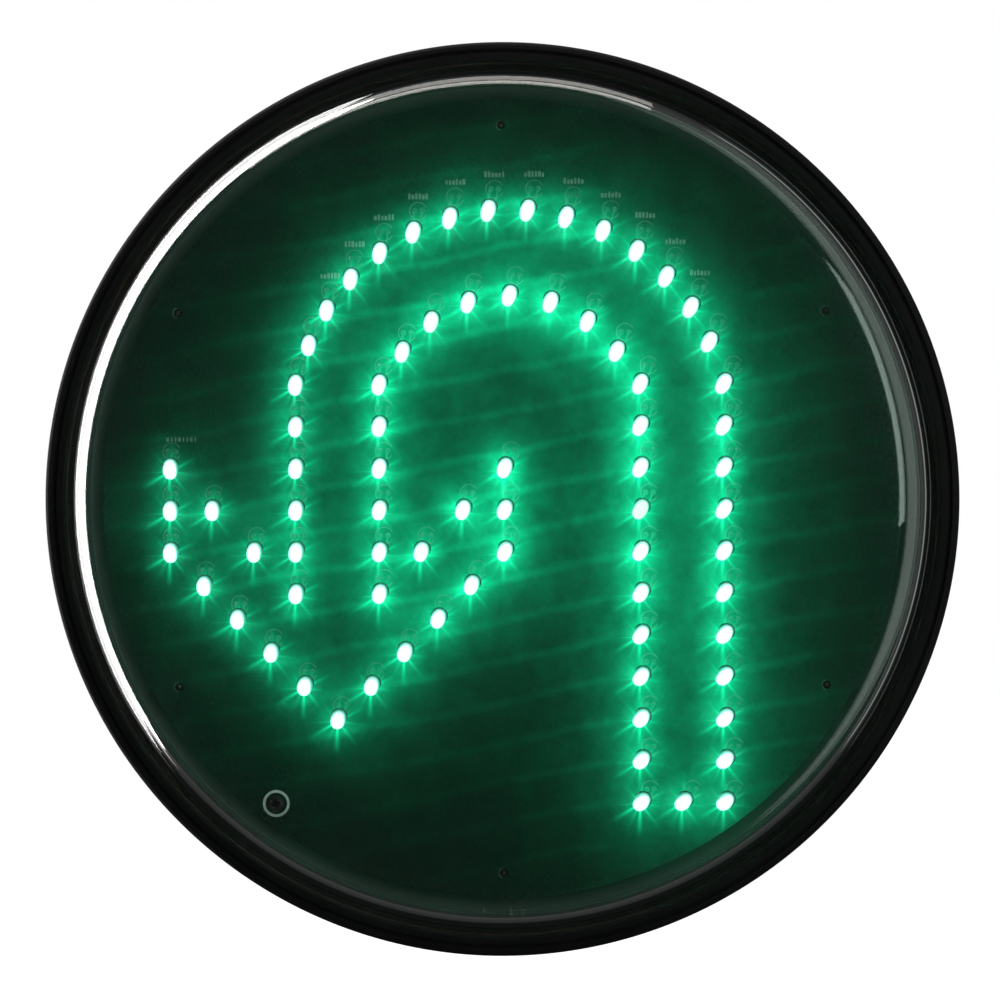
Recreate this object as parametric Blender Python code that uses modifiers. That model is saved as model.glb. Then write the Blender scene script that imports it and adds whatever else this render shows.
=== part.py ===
"""300 mm LED traffic signal lamp module with a U-turn arrow, upright, as it sits in a signal head's door.

Metres, +Z up.  The lens faces -Y.  The origin is the centre of the gasket's front seating face, on the lens axis.
Everything is laid out in a "module frame" carried by one empty: x to the right seen from the front, y up, and
z forwards out of the lens; the empty turns that frame so that its z becomes world -Y.  Sizes below are in
millimetres and are scaled once, by MM.
"""

import math

import bmesh
import bpy
from mathutils import Matrix, Vector

MM = 0.001

# ---------------------------------------------------------------- driving dimensions (mm)
GAP = 0.3                 # clearance between touching pieces
STEPS = 48                # facets round the large turned pieces

GASKET_R = 150.0          # outside radius: the nominal 300 mm size
GASKET_T = 12.6           # front to back
LIP_R = 143.1             # inner edge of both lips
CHANNEL_R = 147.3         # floor of the U channel
FLANGE_R = 147.0          # lens and housing flanges that the gasket wraps
WALL_R = 142.6            # lens wall where it leaves the gasket
LENS_T = 3.0
LENS_EDGE_R = 129.6       # where the front dome meets the rounded shoulder
LENS_EDGE_Z = 21.6
LENS_APEX_Z = 26.0

BOARD_R = 132.0
BOARD_Z = -10.0           # front face of the LED board
BOARD_T = 1.6
PIN_PCD_R = 123.4         # six moulded locating pins
SCREW_AT = (-75.0, -100.2)  # the board's one fixing screw

PITCH = 14.0              # LED grid
ARROW_X = 4.7             # middle of the two shafts of the U
ROW0_Y = -12.0            # row through the arrow head's corners
U_IN_R = 43.75            # inner line of the U
U_OUT_R = 71.75           # outer line of the U
ARC_OUT_R = 72.6          # the outer bend, laid out a little full
LED_R = 2.5
LED_LEN = 8.6
LED_REACH = 21.0          # tip to board along the LED's own axis
LEAN = 0.0375             # each LED leans towards the aim point by this share of its distance
AIM = (-75.0, -190.0)
STRING = 5                # LEDs in series

BACK_Z = -38.0            # outer face of the housing's flat back
RIBS = 12                 # on the outside of the housing's cone
OPEN_R = 54.0             # driver opening in that back
COVER_R = 72.0
COVER_END_Z = -58.0
COVER_SCREW_R = 66.5
GLAND_AT = (0.0, -85.5)

DRV_X, DRV_Y = 78.0, 60.0
DRV_Z = -49.0             # component side of the driver board
DRV_T = 1.6

# ---------------------------------------------------------------- scene, collections, materials
for old in list(bpy.data.objects):
    bpy.data.objects.remove(old, do_unlink=True)

parts = bpy.data.collections.new("u_turn_signal_module")
cutters = bpy.data.collections.new("cutters")
bpy.context.scene.collection.children.link(parts)
bpy.context.scene.collection.children.link(cutters)

axis = bpy.data.objects.new("module_axis", None)
axis.rotation_euler = (math.pi / 2, 0.0, 0.0)
parts.objects.link(axis)


def material(name, colour, roughness, metallic=0.0, alpha=1.0, glow=None):
    mat = bpy.data.materials.new(name)
    mat.use_nodes = True
    shader = mat.node_tree.nodes["Principled BSDF"]
    shader.inputs["Base Color"].default_value = (*colour, 1.0)
    shader.inputs["Roughness"].default_value = roughness
    shader.inputs["Metallic"].default_value = metallic
    shader.inputs["Alpha"].default_value = alpha
    if glow:
        shader.inputs["Emission Color"].default_value = (*glow, 1.0)
        shader.inputs["Emission Strength"].default_value = 3.0
    mat.diffuse_color = (*colour, alpha)
    return mat


EPDM = material("epdm_rubber", (0.012, 0.012, 0.012), 0.55)
CLEAR = material("clear_polycarbonate", (0.80, 0.86, 0.84), 0.04, alpha=0.25)
BLACK_PC = material("black_polycarbonate", (0.016, 0.016, 0.017), 0.42)
SILICONE = material("silicone", (0.45, 0.12, 0.08), 0.5)
MASK = material("dark_solder_mask", (0.008, 0.020, 0.014), 0.22)
GREEN_MASK = material("green_solder_mask", (0.010, 0.16, 0.05), 0.3)
LED = material("lit_green_led", (0.75, 1.0, 0.9), 0.1, glow=(0.05, 1.0, 0.45))
STEEL = material("zinc_steel", (0.55, 0.56, 0.57), 0.35, 1.0)
BLACK_STEEL = material("black_steel", (0.03, 0.03, 0.032), 0.4, 1.0)
NYLON = material("grey_nylon", (0.13, 0.13, 0.135), 0.5)
WHITE_NYLON = material("white_nylon", (0.78, 0.77, 0.72), 0.45)
TERMINAL = material("terminal_green", (0.02, 0.26, 0.10), 0.45)
FERRITE = material("ferrite", (0.045, 0.045, 0.05), 0.6)
TAPE = material("winding_tape", (0.75, 0.52, 0.06), 0.4)
COPPER = material("enamelled_copper", (0.62, 0.22, 0.07), 0.3, 1.0)
CAN = material("capacitor_sleeve", (0.015, 0.02, 0.05), 0.35)
FILM = material("film_capacitor", (0.60, 0.45, 0.05), 0.45)
BLUE = material("varistor_blue", (0.02, 0.12, 0.45), 0.4)
GLASS_FUSE = material("fuse_glass", (0.75, 0.80, 0.82), 0.08, alpha=0.5)
EPOXY = material("moulding_epoxy", (0.02, 0.02, 0.02), 0.5)
ALU = material("anodised_aluminium", (0.65, 0.66, 0.68), 0.35, 1.0)
RED_WIRE = material("wire_red", (0.55, 0.02, 0.02), 0.45)
BLACK_WIRE = material("wire_black", (0.02, 0.02, 0.02), 0.45)


# ---------------------------------------------------------------- modelling helpers
def mm(*values):
    return Vector([v * MM for v in values])


def add(name, mesh, mat=None, at=(0, 0, 0), turn=(0, 0, 0), cutter=False):
    obj = bpy.data.objects.new(name, mesh)
    obj.parent = axis
    obj.location = mm(*at)
    obj.rotation_euler = turn
    (cutters if cutter else parts).objects.link(obj)
    if cutter:
        obj.hide_render = True
        obj.display_type = "WIRE"
    if mat is not None and not obj.data.materials:
        obj.data.materials.append(mat)
    return obj


def smooth(obj, degrees=32):
    obj.data.shade_smooth()
    obj.data.set_sharp_from_angle(angle=math.radians(degrees))
    return obj


def turned(name, profile, mat, steps=STEPS, at=(0, 0, 0), turn=(0, 0, 0), cutter=False):
    """A turned piece: (radius, z) points in mm, down the outer side from top to bottom.
    A profile with both ends on the axis is open, and any other is closed into a ring."""
    on_axis = abs(profile[0][0]) < 1e-9 and abs(profile[-1][0]) < 1e-9
    points = [mm(r, 0, z) for r, z in profile]
    edges = [(i, i + 1) for i in range(len(points) - 1)]
    if not on_axis:
        edges.append((len(points) - 1, 0))
    mesh = bpy.data.meshes.new(name)
    mesh.from_pydata(points, edges, [])
    obj = add(name, mesh, mat, at, turn, cutter)
    screw = obj.modifiers.new("turn", "SCREW")
    screw.axis = "Z"
    screw.steps = screw.render_steps = steps
    screw.use_merge_vertices = True
    screw.merge_threshold = 0.00005
    screw.use_smooth_shade = False
    return obj


def box_mesh(name, size):
    bm = bmesh.new()
    bmesh.ops.create_cube(bm, size=1.0, matrix=Matrix.Diagonal((*mm(*size), 1.0)))
    mesh = bpy.data.meshes.new(name)
    bm.to_mesh(mesh)
    bm.free()
    return mesh


def box(name, size, mat=None, at=(0, 0, 0), turn=(0, 0, 0), cutter=False):
    """A block of that size, standing on z = 0 of its own frame."""
    mesh = box_mesh(name, size)
    mesh.transform(Matrix.Translation(mm(0, 0, size[2] / 2)))
    return add(name, mesh, mat, at, turn, cutter)


def rod_mesh(name, r, length, sides, r_top=None):
    bm = bmesh.new()
    bmesh.ops.create_cone(bm, cap_ends=True, segments=sides, radius1=r * MM,
                          radius2=(r if r_top is None else r_top) * MM, depth=length * MM,
                          matrix=Matrix.Translation(mm(0, 0, length / 2)))
    mesh = bpy.data.meshes.new(name)
    bm.to_mesh(mesh)
    bm.free()
    return mesh


def rod(name, r, length, mat=None, at=(0, 0, 0), turn=(0, 0, 0), sides=12, cutter=False, r_top=None):
    """A round bar standing on z = 0 of its own frame."""
    return add(name, rod_mesh(name, r, length, sides, r_top), mat, at, turn, cutter)


def group(name, objs):
    """The cutters of one Boolean, in a collection of their own."""
    coll = bpy.data.collections.new(name)
    cutters.children.link(coll)
    for obj in objs:
        coll.objects.link(obj)
        cutters.objects.unlink(obj)
    return coll


def boolean(obj, operation, objs, name):
    modifier = obj.modifiers.new(name, "BOOLEAN")
    modifier.operation = operation
    modifier.solver = "EXACT"
    modifier.operand_type = "COLLECTION"
    modifier.collection = group(obj.name + "_" + name, objs)
    return obj


def polar(r, degrees):
    a = math.radians(degrees)
    return r * math.cos(a), r * math.sin(a)


def curve_between(a, b, bow, steps):
    """Points of a quarter-ellipse-like shoulder from a to b, pulled towards the corner point bow (a quadratic curve)."""
    found = []
    for i in range(steps + 1):
        t = i / steps
        found.append(tuple((1 - t) ** 2 * a[k] + 2 * t * (1 - t) * bow[k] + t * t * b[k] for k in range(2)))
    return found


def dome(edge_r, edge_z, apex_z, rings):
    """Points of the shallow front dome, from the axis outwards."""
    return [(edge_r * i / rings, apex_z - (apex_z - edge_z) * (i / rings) ** 2) for i in range(rings)]


# ---------------------------------------------------------------- gasket, lens and lens seal
gasket = turned("gasket", [
    (LIP_R, -0.9), (LIP_R + 0.8, 0.0), (146.0, 0.0), (146.4, -1.0), (147.1, -1.0), (147.5, 0.0),
    (148.7, -0.2), (GASKET_R, -1.9), (GASKET_R, -5.2), (149.2, -6.2), (GASKET_R, -7.2),
    (GASKET_R, -11.2), (148.8, -GASKET_T), (LIP_R, -GASKET_T), (LIP_R, -9.9),
    (CHANNEL_R, -9.9), (CHANNEL_R, -2.7), (LIP_R, -2.7)], EPDM)

wall_top = (139.4, 12.0)
shoulder_out = curve_between((LENS_EDGE_R, LENS_EDGE_Z), wall_top, (137.6, 21.0), 4)
shoulder_in = curve_between((136.3, 11.0), (128.4, LENS_EDGE_Z - LENS_T), (134.6, 18.2), 3)
lens = turned("lens", dome(LENS_EDGE_R, LENS_EDGE_Z, LENS_APEX_Z, 3) + shoulder_out + [
    (WALL_R, 0.0), (WALL_R, -3.0), (FLANGE_R, -3.0), (FLANGE_R, -6.15), (139.5, -6.15), (139.4, -0.5)]
    + shoulder_in + list(reversed(dome(128.4, LENS_EDGE_Z - LENS_T, LENS_APEX_Z - LENS_T, 2))), CLEAR)
# Two short index ribs inside the wall at the bottom, which show the fitter which way is down.
boolean(lens, "UNION", [
    box("index_rib_%d" % i, (1.1, 6.0, 7.5), at=(4.2 + s * 2.0, -137.0, -5.5), cutter=True)
    for i, s in enumerate((-1, 1))], "index_ribs")

lens_seal = turned("lens_seal", [(143.2, -6.45), (145.6, -6.45), (145.6, -8.0), (143.2, -8.0)], SILICONE)

# ---------------------------------------------------------------- rear housing
INNER_CONE = ((139.5, -13.5), (99.5, -35.0))


def floor_z(r):
    """Height of the housing's inner surface at a radius."""
    (r0, z0), (r1, z1) = INNER_CONE
    return z1 if r < r1 else z0 + (z1 - z0) * (r0 - r) / (r0 - r1)


housing = turned("rear_housing", [
    (139.5, -6.45), (142.9, -6.45), (142.9, -8.3), (145.9, -8.3), (145.9, -6.45), (FLANGE_R, -6.45),
    (FLANGE_R, -9.6), (142.5, -9.6), (142.5, -15.0), (102.0, BACK_Z), (OPEN_R, BACK_Z), (OPEN_R, -35.0),
    INNER_CONE[1], INNER_CONE[0]], BLACK_PC)

board_back = BOARD_Z - BOARD_T
grown = []
for i in range(6):
    x, y = polar(PIN_PCD_R, 30 + 60 * i)
    base = floor_z(PIN_PCD_R) - 1.8
    grown.append(rod("post_%d" % i, 2.8, board_back - GAP - base, at=(x, y, base), cutter=True, sides=10))
    grown.append(rod("pin_%d" % i, 1.0, 4.2, at=(x, y, board_back - 1.6), cutter=True, sides=8))
screw_r = math.hypot(*SCREW_AT)
base = floor_z(screw_r) - 1.8
grown.append(rod("screw_post", 3.0, board_back - GAP - base, at=(*SCREW_AT, base), cutter=True, sides=12))
for i in range(4):
    x, y = polar(COVER_SCREW_R, 45 + 90 * i)
    grown.append(rod("boss_%d" % i, 5.0, 10.0, at=(x, y, -36.5), cutter=True, sides=12))
# Stiffening ribs, sunk in the outside of the cone.
slope = math.atan2(23.0, 40.5)
for i in range(RIBS):
    angle = 15 + 360 / RIBS * i
    r, z = 121.5 + 4.0 * math.sin(slope), -26.1 - 4.0 * math.cos(slope)
    x, y = polar(r, angle)
    grown.append(box("rib_%d" % i, (33.0, 2.4, 5.6), at=(x, y, z), turn=(0, -slope, math.radians(angle)),
                     cutter=True))
# Raised arrow on the flat back, over the driver cover, that shows the fitter which way is up.
arrow = bpy.data.meshes.new("up_arrow")
bm = bmesh.new()
outline = [(-2.0, 78.0), (-2.0, 87.0), (-6.0, 87.0), (0.0, 95.0), (6.0, 87.0), (2.0, 87.0), (2.0, 78.0)]
face = bm.faces.new([bm.verts.new(mm(x, y, BACK_Z - 1.0)) for x, y in outline])
top = bmesh.ops.extrude_face_region(bm, geom=[face])
bmesh.ops.translate(bm, verts=[v for v in top["geom"] if isinstance(v, bmesh.types.BMVert)], vec=mm(0, 0, 2.5))
bmesh.ops.recalc_face_normals(bm, faces=bm.faces)
bm.to_mesh(arrow)
bm.free()
grown.append(add("up_arrow", arrow, cutter=True))
boolean(housing, "UNION", grown, "posts")

holes = [rod("cable_hole", 8.1, 10.0, at=(*GLAND_AT, -41.0), cutter=True, sides=16),
         rod("screw_post_hole", 1.6, 9.0, at=(*SCREW_AT, board_back - 8.0), cutter=True, sides=8)]
for i in range(4):
    x, y = polar(COVER_SCREW_R, 45 + 90 * i)
    holes.append(rod("boss_hole_%d" % i, 2.1, 10.5, at=(x, y, -38.8), cutter=True, sides=10))
boolean(housing, "DIFFERENCE", holes, "holes")

# ---------------------------------------------------------------- LED board and its fixings
board = rod("led_board", BOARD_R, BOARD_T, MASK, at=(0, 0, board_back), sides=STEPS)
pin_holes = []
for i in range(6):
    x, y = polar(PIN_PCD_R, 30 + 60 * i)
    pin_holes.append(rod("pin_hole_%d" % i, 1.35, 4.0, at=(x, y, board_back - 1.2), cutter=True, sides=8))
pin_holes.append(rod("board_screw_hole", 1.8, 4.0, at=(*SCREW_AT, board_back - 1.2), cutter=True, sides=10))
boolean(board, "DIFFERENCE", pin_holes, "holes")


def screw_piece(name, at, up, head_r, head_h, shank_r, length, mat, steps=10):
    """A pan-head screw; at is the middle of the head's seat, and up is +1 with the head to the front, -1 to the back."""
    profile = [(0, head_h), (head_r * 0.72, head_h), (head_r, head_h * 0.45), (head_r, 0), (shank_r, 0),
               (shank_r, 1.2 - length), (0, -length)]
    return turned(name, profile, mat, steps, at, (0 if up > 0 else math.pi, 0, 0))


screw_piece("board_screw", (*SCREW_AT, BOARD_Z + GAP), 1, 2.75, 2.0, 1.3, 9.0, BLACK_STEEL, 12)

# ---------------------------------------------------------------- LED layout: one closed outline of the arrow
head_x = ARROW_X - (U_IN_R + U_OUT_R) / 2      # middle of the shaft that carries the arrow head
arc_y = ROW0_Y + 3 * PITCH                     # centre height of both bends


def row(n):
    return ROW0_Y + n * PITCH


def outline_points():
    """Foot of every LED on the board, in order round the arrow's outline."""
    found = [(ARROW_X + U_OUT_R, row(n)) for n in range(-6, 5)]
    found += [(ARROW_X + polar(ARC_OUT_R, 90.3 + 10.4 * (k - 6.5))[0],
               arc_y + polar(ARC_OUT_R, 90.3 + 10.4 * (k - 6.5))[1]) for k in range(14)]
    found += [(ARROW_X - U_OUT_R, row(n)) for n in range(4, -2, -1)]
    found += [(head_x - 2 * PITCH, row(0)), (head_x - 3 * PITCH, row(1))]
    found += [(head_x - 4 * PITCH, row(n)) for n in (2, 1, 0)]
    edge = 4 * PITCH / 5
    found += [(head_x - 4 * PITCH + edge * k, row(0) - edge * k) for k in range(1, 5)]
    found += [(head_x, row(-4))]
    found += [(head_x + edge * k, row(-4) + edge * k) for k in range(1, 5)]
    found += [(head_x + 4 * PITCH, row(n)) for n in (0, 1, 2)]
    found += [(head_x + 3 * PITCH, row(1)), (head_x + 2 * PITCH, row(0))]
    found += [(ARROW_X - U_IN_R, row(n)) for n in range(-1, 5)]
    found += [(ARROW_X + polar(U_IN_R, 145.2 - 18.4 * k)[0],
               arc_y + polar(U_IN_R, 145.2 - 18.4 * k)[1]) for k in range(7)]
    found += [(ARROW_X + U_IN_R, row(n)) for n in range(4, -7, -1)]
    found += [(ARROW_X + (U_IN_R + U_OUT_R) / 2, row(-6))]
    return found


def led_frame(x, y):
    """Foot and turning of one LED: its z axis runs from foot to tip, and its x axis through both leads."""
    lean = Vector((LEAN * (AIM[0] - x), LEAN * (AIM[1] - y), 0.0))
    lean.z = math.sqrt(LED_REACH ** 2 - lean.length_squared)
    up = lean.normalized()
    across = Vector((0.0, 1.0, 0.0)).cross(up).normalized()
    turn = Matrix((across, up.cross(across), up)).transposed().to_4x4()
    return Matrix.Translation(mm(x, y, BOARD_Z)) @ turn


# One LED lamp, its foot at the origin: flange, straight body and a domed tip.
lamp_profile = turned("lamp", [(0, LED_REACH), (1.7, LED_REACH - 0.75), (LED_R, LED_REACH - 2.5),
                               (2.85, LED_REACH - LED_LEN), (0, LED_REACH - LED_LEN)], LED, steps=6, cutter=True)
lamp_profile.parent = None
bpy.context.view_layer.update()
lamp = bpy.data.meshes.new_from_object(lamp_profile.evaluated_get(bpy.context.evaluated_depsgraph_get()))
bpy.data.objects.remove(lamp_profile, do_unlink=True)
lead_length = LED_REACH - LED_LEN + 0.3
lead = rod_mesh("lead", 0.4, lead_length, 3)

TRACK_Z, TRACK_T = BOARD_Z + GAP, 0.4


def placed(name, source, matrix):
    mesh = source.copy()
    mesh.transform(matrix)
    mesh.name = name
    return add(name, mesh, cutter=True)


def led_string(number, feet):
    """LEDs in series as one soldered string: lamps, leads and the copper track from each to the next."""
    name = "led_string_%02d" % number
    frames = [led_frame(x, y) for x, y in feet]
    first = lamp.copy()
    first.transform(frames[0])
    obj = add(name, first)
    if not obj.data.materials:
        obj.data.materials.append(LED)
    joined = []
    for i, frame in enumerate(frames):
        if i:
            joined.append(placed("%s_lamp_%d" % (name, i), lamp, frame))
        for side in (-1.27, 1.27):
            # each lead ends 0.45 mm over the board, inside its track, however the lamp leans
            lift = (0.45 + 0.4 * math.sqrt(1 - frame[2][2] ** 2) - side * frame[2][0]) / frame[2][2]
            shift = Matrix.Translation(mm(side, 0, lift))
            joined.append(placed("%s_lead_%d" % (name, i), lead, frame @ shift))
        if i + 1 < len(frames):
            a = frame @ mm(1.27, 0, 0)
            b = frames[i + 1] @ mm(-1.27, 0, 0)
            run = (b - a) / MM
            track = box_mesh("track", (math.hypot(run.x, run.y) + 1.6, 1.3, TRACK_T))
            middle = (a + b) / 2
            matrix = (Matrix.Translation((middle.x, middle.y, (TRACK_Z + TRACK_T / 2) * MM))
                      @ Matrix.Rotation(math.atan2(run.y, run.x), 4, "Z"))
            joined.append(placed("%s_track_%d" % (name, i), track, matrix))
    boolean(obj, "UNION", joined, "solder")
    return obj


feet = outline_points()
for n in range(len(feet) // STRING):
    led_string(n + 1, feet[n * STRING:(n + 1) * STRING])

# ---------------------------------------------------------------- rear cover, its seal and screws
cover_floor = COVER_END_Z + 3.0
cover = turned("rear_cover", [
    (0, cover_floor), (52.4, cover_floor), (54.3, -38.3), (56.7, -38.3), (56.7, -39.8), (61.3, -39.8), (61.3, -38.3),
    (COVER_R, -38.3), (COVER_R, -41.3), (58.2, -41.3), (55.6, COVER_END_Z), (0, COVER_END_Z)], BLACK_PC, steps=40)
standoffs = []
for i, (sx, sy) in enumerate(((1, 1), (-1, 1), (-1, -1), (1, -1))):
    standoffs.append(rod("standoff_%d" % i, 3.0, DRV_Z - DRV_T - GAP - cover_floor + 1.0,
                         at=(34.0 * sx, 25.0 * sy, cover_floor - 1.0), cutter=True, sides=10))
boolean(cover, "UNION", standoffs, "standoffs")
cover_holes = []
for i in range(4):
    x, y = polar(COVER_SCREW_R, 45 + 90 * i)
    cover_holes.append(rod("cover_hole_%d" % i, 2.3, 6.0, at=(x, y, -43.0), cutter=True, sides=10))
for i, (sx, sy) in enumerate(((1, 1), (-1, 1), (-1, -1), (1, -1))):
    cover_holes.append(rod("standoff_hole_%d" % i, 1.5, 5.0, at=(34.0 * sx, 25.0 * sy, cover_floor + 0.4),
                           cutter=True, sides=8))
boolean(cover, "DIFFERENCE", cover_holes, "holes")

turned("cover_seal", [(57.0, -38.3), (61.0, -38.3), (61.0, -39.5), (57.0, -39.5)], SILICONE, steps=40)
for i in range(4):
    x, y = polar(COVER_SCREW_R, 45 + 90 * i)
    screw_piece("cover_screw_%d" % (i + 1), (x, y, -41.3 - GAP), -1, 3.5, 2.4, 1.75, 11.5, STEEL)

# ---------------------------------------------------------------- cable gland in the flat back, with nothing in it
gx, gy = GLAND_AT
gland = turned("gland_body", [
    (4.4, -28.5), (7.7, -28.5), (7.7, BACK_Z - 1.8), (7.7, -51.4), (4.4, -51.4)], NYLON, steps=16, at=(gx, gy, 0))
boolean(gland, "UNION", [rod("gland_hex", 10.6, 4.0, at=(gx, gy, BACK_Z - 2.1 - 4.0), cutter=True, sides=6)], "hex")
boolean(gland, "DIFFERENCE", [rod("gland_bore", 4.4, 30.0, at=(gx, gy, -56.0), cutter=True, sides=16)], "bore")
turned("gland_washer", [(8.0, -38.3), (10.2, -38.3), (10.2, -39.8), (8.0, -39.8)], EPDM, steps=16, at=(gx, gy, 0))
locknut = rod("gland_locknut", 11.2, 3.6, NYLON, at=(gx, gy, -34.7), sides=6)
boolean(locknut, "DIFFERENCE", [rod("locknut_bore", 8.0, 8.0, at=(gx, gy, -37.0), cutter=True, sides=16)], "bore")
turned("gland_cap", [
    (8.0, -44.4), (10.4, -44.4), (10.4, -53.0), (8.4, -57.6), (5.0, -57.6), (5.0, -56.0), (8.0, -55.6)],
    NYLON, steps=16, at=(gx, gy, 0))
turned("gland_seal", [(4.2, -51.7), (7.6, -51.7), (7.6, -55.3), (4.2, -55.3)], EPDM, steps=16, at=(gx, gy, 0))

# ---------------------------------------------------------------- driver board and what is soldered to it
driver = box("driver_board", (DRV_X, DRV_Y, DRV_T), GREEN_MASK, at=(0, 0, DRV_Z - DRV_T))
corner_holes = [rod("driver_hole_%d" % i, 1.8, 4.0, at=(34.0 * sx, 25.0 * sy, DRV_Z - 3.0), cutter=True, sides=8)
                for i, (sx, sy) in enumerate(((1, 1), (-1, 1), (-1, -1), (1, -1)))]
boolean(driver, "DIFFERENCE", corner_holes, "holes")
for i, (sx, sy) in enumerate(((1, 1), (-1, 1), (-1, -1), (1, -1))):
    screw_piece("driver_screw_%d" % (i + 1), (34.0 * sx, 25.0 * sy, DRV_Z + GAP), 1, 2.75, 2.0, 1.2, 5.2, STEEL, 8)

up = DRV_Z + GAP
terminal = box("input_terminal", (15.0, 9.0, 10.0), TERMINAL, at=(-15.0, -24.0, up))
boolean(terminal, "DIFFERENCE", [box("wire_way_%d" % i, (3.0, 6.0, 4.0), at=(-20.0 + 5.0 * i, -27.0, up + 1.2),
                                     cutter=True) for i in range(3)]
        + [rod("screw_way_%d" % i, 1.6, 3.0, at=(-20.0 + 5.0 * i, -23.0, up + 8.0), cutter=True, sides=8)
           for i in range(3)], "ways")
rod("fuse", 2.6, 20.0, GLASS_FUSE, at=(3.0, -24.5, up + 3.2), turn=(0, math.pi / 2, 0), sides=12)
rod("varistor", 5.6, 4.0, BLUE, at=(-33.0, -8.0, up + 6.2), turn=(0, math.pi / 2, 0), sides=14)
box("x_capacitor", (18.0, 8.0, 13.0), FILM, at=(-15.0, -12.0, up))
turned("line_choke", [(4.0, 6.6), (9.0, 6.6), (10.2, 5.4), (10.2, 1.4), (9.0, 0.2), (4.0, 0.2), (3.2, 1.4), (3.2, 5.4)],
       COPPER, steps=20, at=(8.5, -9.5, up))
box("bridge_rectifier", (14.0, 4.0, 11.0), EPOXY, at=(28.0, -14.0, up))
turned("bulk_capacitor", [(0, 21.0), (7.4, 21.0), (8.0, 20.3), (8.0, 2.6), (7.5, 2.0), (8.0, 1.4), (8.0, 0.2), (0, 0.2)],
       CAN, steps=18, at=(28.5, 1.5, up))
core = box("transformer_core", (25.0, 12.0, 20.0), FERRITE, at=(2.5, 11.5, up))
boolean(core, "DIFFERENCE", [
    box("window_%d" % i, (5.9, 16.0, 13.0), at=(2.5 + s * 6.6, 11.5, up + 3.5), cutter=True)
    for i, s in enumerate((-1, 1))], "windows")
winding = box("transformer_winding", (16.4, 16.4, 12.4), TAPE, at=(2.5, 11.5, up + 3.8))
boolean(winding, "DIFFERENCE", [box("winding_bore", (7.9, 12.6, 16.0), at=(2.5, 11.5, up + 1.5), cutter=True)], "bore")
heatsink = box("heatsink", (17.0, 13.0, 19.0), ALU, at=(-24.5, 10.5, up))
boolean(heatsink, "DIFFERENCE", [box("fin_gap_%d" % i, (2.2, 12.0, 22.0), at=(-30.0 + 3.7 * i, 14.0, up - 1.5),
                                     cutter=True) for i in range(4)], "fins")
box("switching_transistor", (10.2, 4.3, 15.0), EPOXY, at=(-24.5, 1.3, up + 2.0))
turned("output_capacitor", [(0, 14.0), (4.6, 14.0), (5.0, 13.5), (5.0, 0.2), (0, 0.2)], CAN, steps=12, at=(21.0, 19.5, up))
box("output_connector", (8.0, 6.0, 7.0), WHITE_NYLON, at=(1.0, 25.0, up))
box("led_connector", (8.0, 6.0, 7.0), WHITE_NYLON, at=(1.0, 38.0, board_back - GAP - 7.0))


def link_wire(name, mat, side):
    """One core of the link from the driver to the LED board, bowed so that the cover can be opened."""
    start, end = Vector((1.0 + side, 25.0, up + 7.0 + GAP)), Vector((1.0 + side, 38.0, board_back - 7.0 - 2 * GAP))
    bows = (start + Vector((0.0, 0.0, 11.0)), end + Vector((0.0, 0.0, -11.0)))
    data = bpy.data.curves.new(name, "CURVE")
    data.dimensions = "3D"
    data.bevel_depth = 0.8 * MM
    data.bevel_resolution = 1
    data.use_fill_caps = True
    spline = data.splines.new("POLY")
    count = 12
    spline.points.add(count - 1)
    for i in range(count):
        t = i / (count - 1)
        p = ((1 - t) ** 3 * start + 3 * t * (1 - t) ** 2 * bows[0] + 3 * t * t * (1 - t) * bows[1] + t ** 3 * end)
        spline.points[i].co = (*(p * MM), 1.0)
    return add(name, data, mat)


link_wire("link_wire_red", RED_WIRE, -1.3)
link_wire("link_wire_black", BLACK_WIRE, 1.3)

bpy.context.view_layer.update()
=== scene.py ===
import math

import bmesh
import bpy
import numpy as np
from mathutils import Matrix, Vector

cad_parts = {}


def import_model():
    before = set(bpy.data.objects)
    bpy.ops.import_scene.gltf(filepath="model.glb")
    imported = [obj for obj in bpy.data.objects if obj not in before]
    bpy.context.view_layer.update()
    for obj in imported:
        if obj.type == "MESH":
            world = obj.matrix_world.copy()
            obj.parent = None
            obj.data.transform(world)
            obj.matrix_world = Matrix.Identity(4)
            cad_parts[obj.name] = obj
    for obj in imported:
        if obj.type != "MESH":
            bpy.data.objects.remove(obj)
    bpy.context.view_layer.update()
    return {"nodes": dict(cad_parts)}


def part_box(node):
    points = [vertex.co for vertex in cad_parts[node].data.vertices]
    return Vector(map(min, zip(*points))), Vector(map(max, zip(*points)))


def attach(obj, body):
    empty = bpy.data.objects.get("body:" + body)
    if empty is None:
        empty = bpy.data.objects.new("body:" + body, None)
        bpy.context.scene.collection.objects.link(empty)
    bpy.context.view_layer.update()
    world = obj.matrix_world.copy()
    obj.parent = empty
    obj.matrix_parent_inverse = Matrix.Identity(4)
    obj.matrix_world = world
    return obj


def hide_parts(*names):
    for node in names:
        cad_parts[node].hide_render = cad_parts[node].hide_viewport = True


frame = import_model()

NODES = frame["nodes"]

# Lengths below are in millimetres in the module's own frame: x right, y up, z forwards out of the lens.
MM = 0.001
TURN = Matrix(((1, 0, 0, 0), (0, 0, -1, 0), (0, 1, 0, 0), (0, 0, 0, 1)))   # module frame to row frame
SEGS = 288

GASKET_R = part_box("gasket")[1].x / MM
BOARD_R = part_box("led_board")[1].x / MM
BOARD_Z = -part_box("led_board")[0].y / MM
BOARD_BACK = -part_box("led_board")[1].y / MM
COVER_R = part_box("rear_cover")[1].x / MM
COVER_END_Z = -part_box("rear_cover")[1].y / MM
BACK_Z = -38.0

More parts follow.
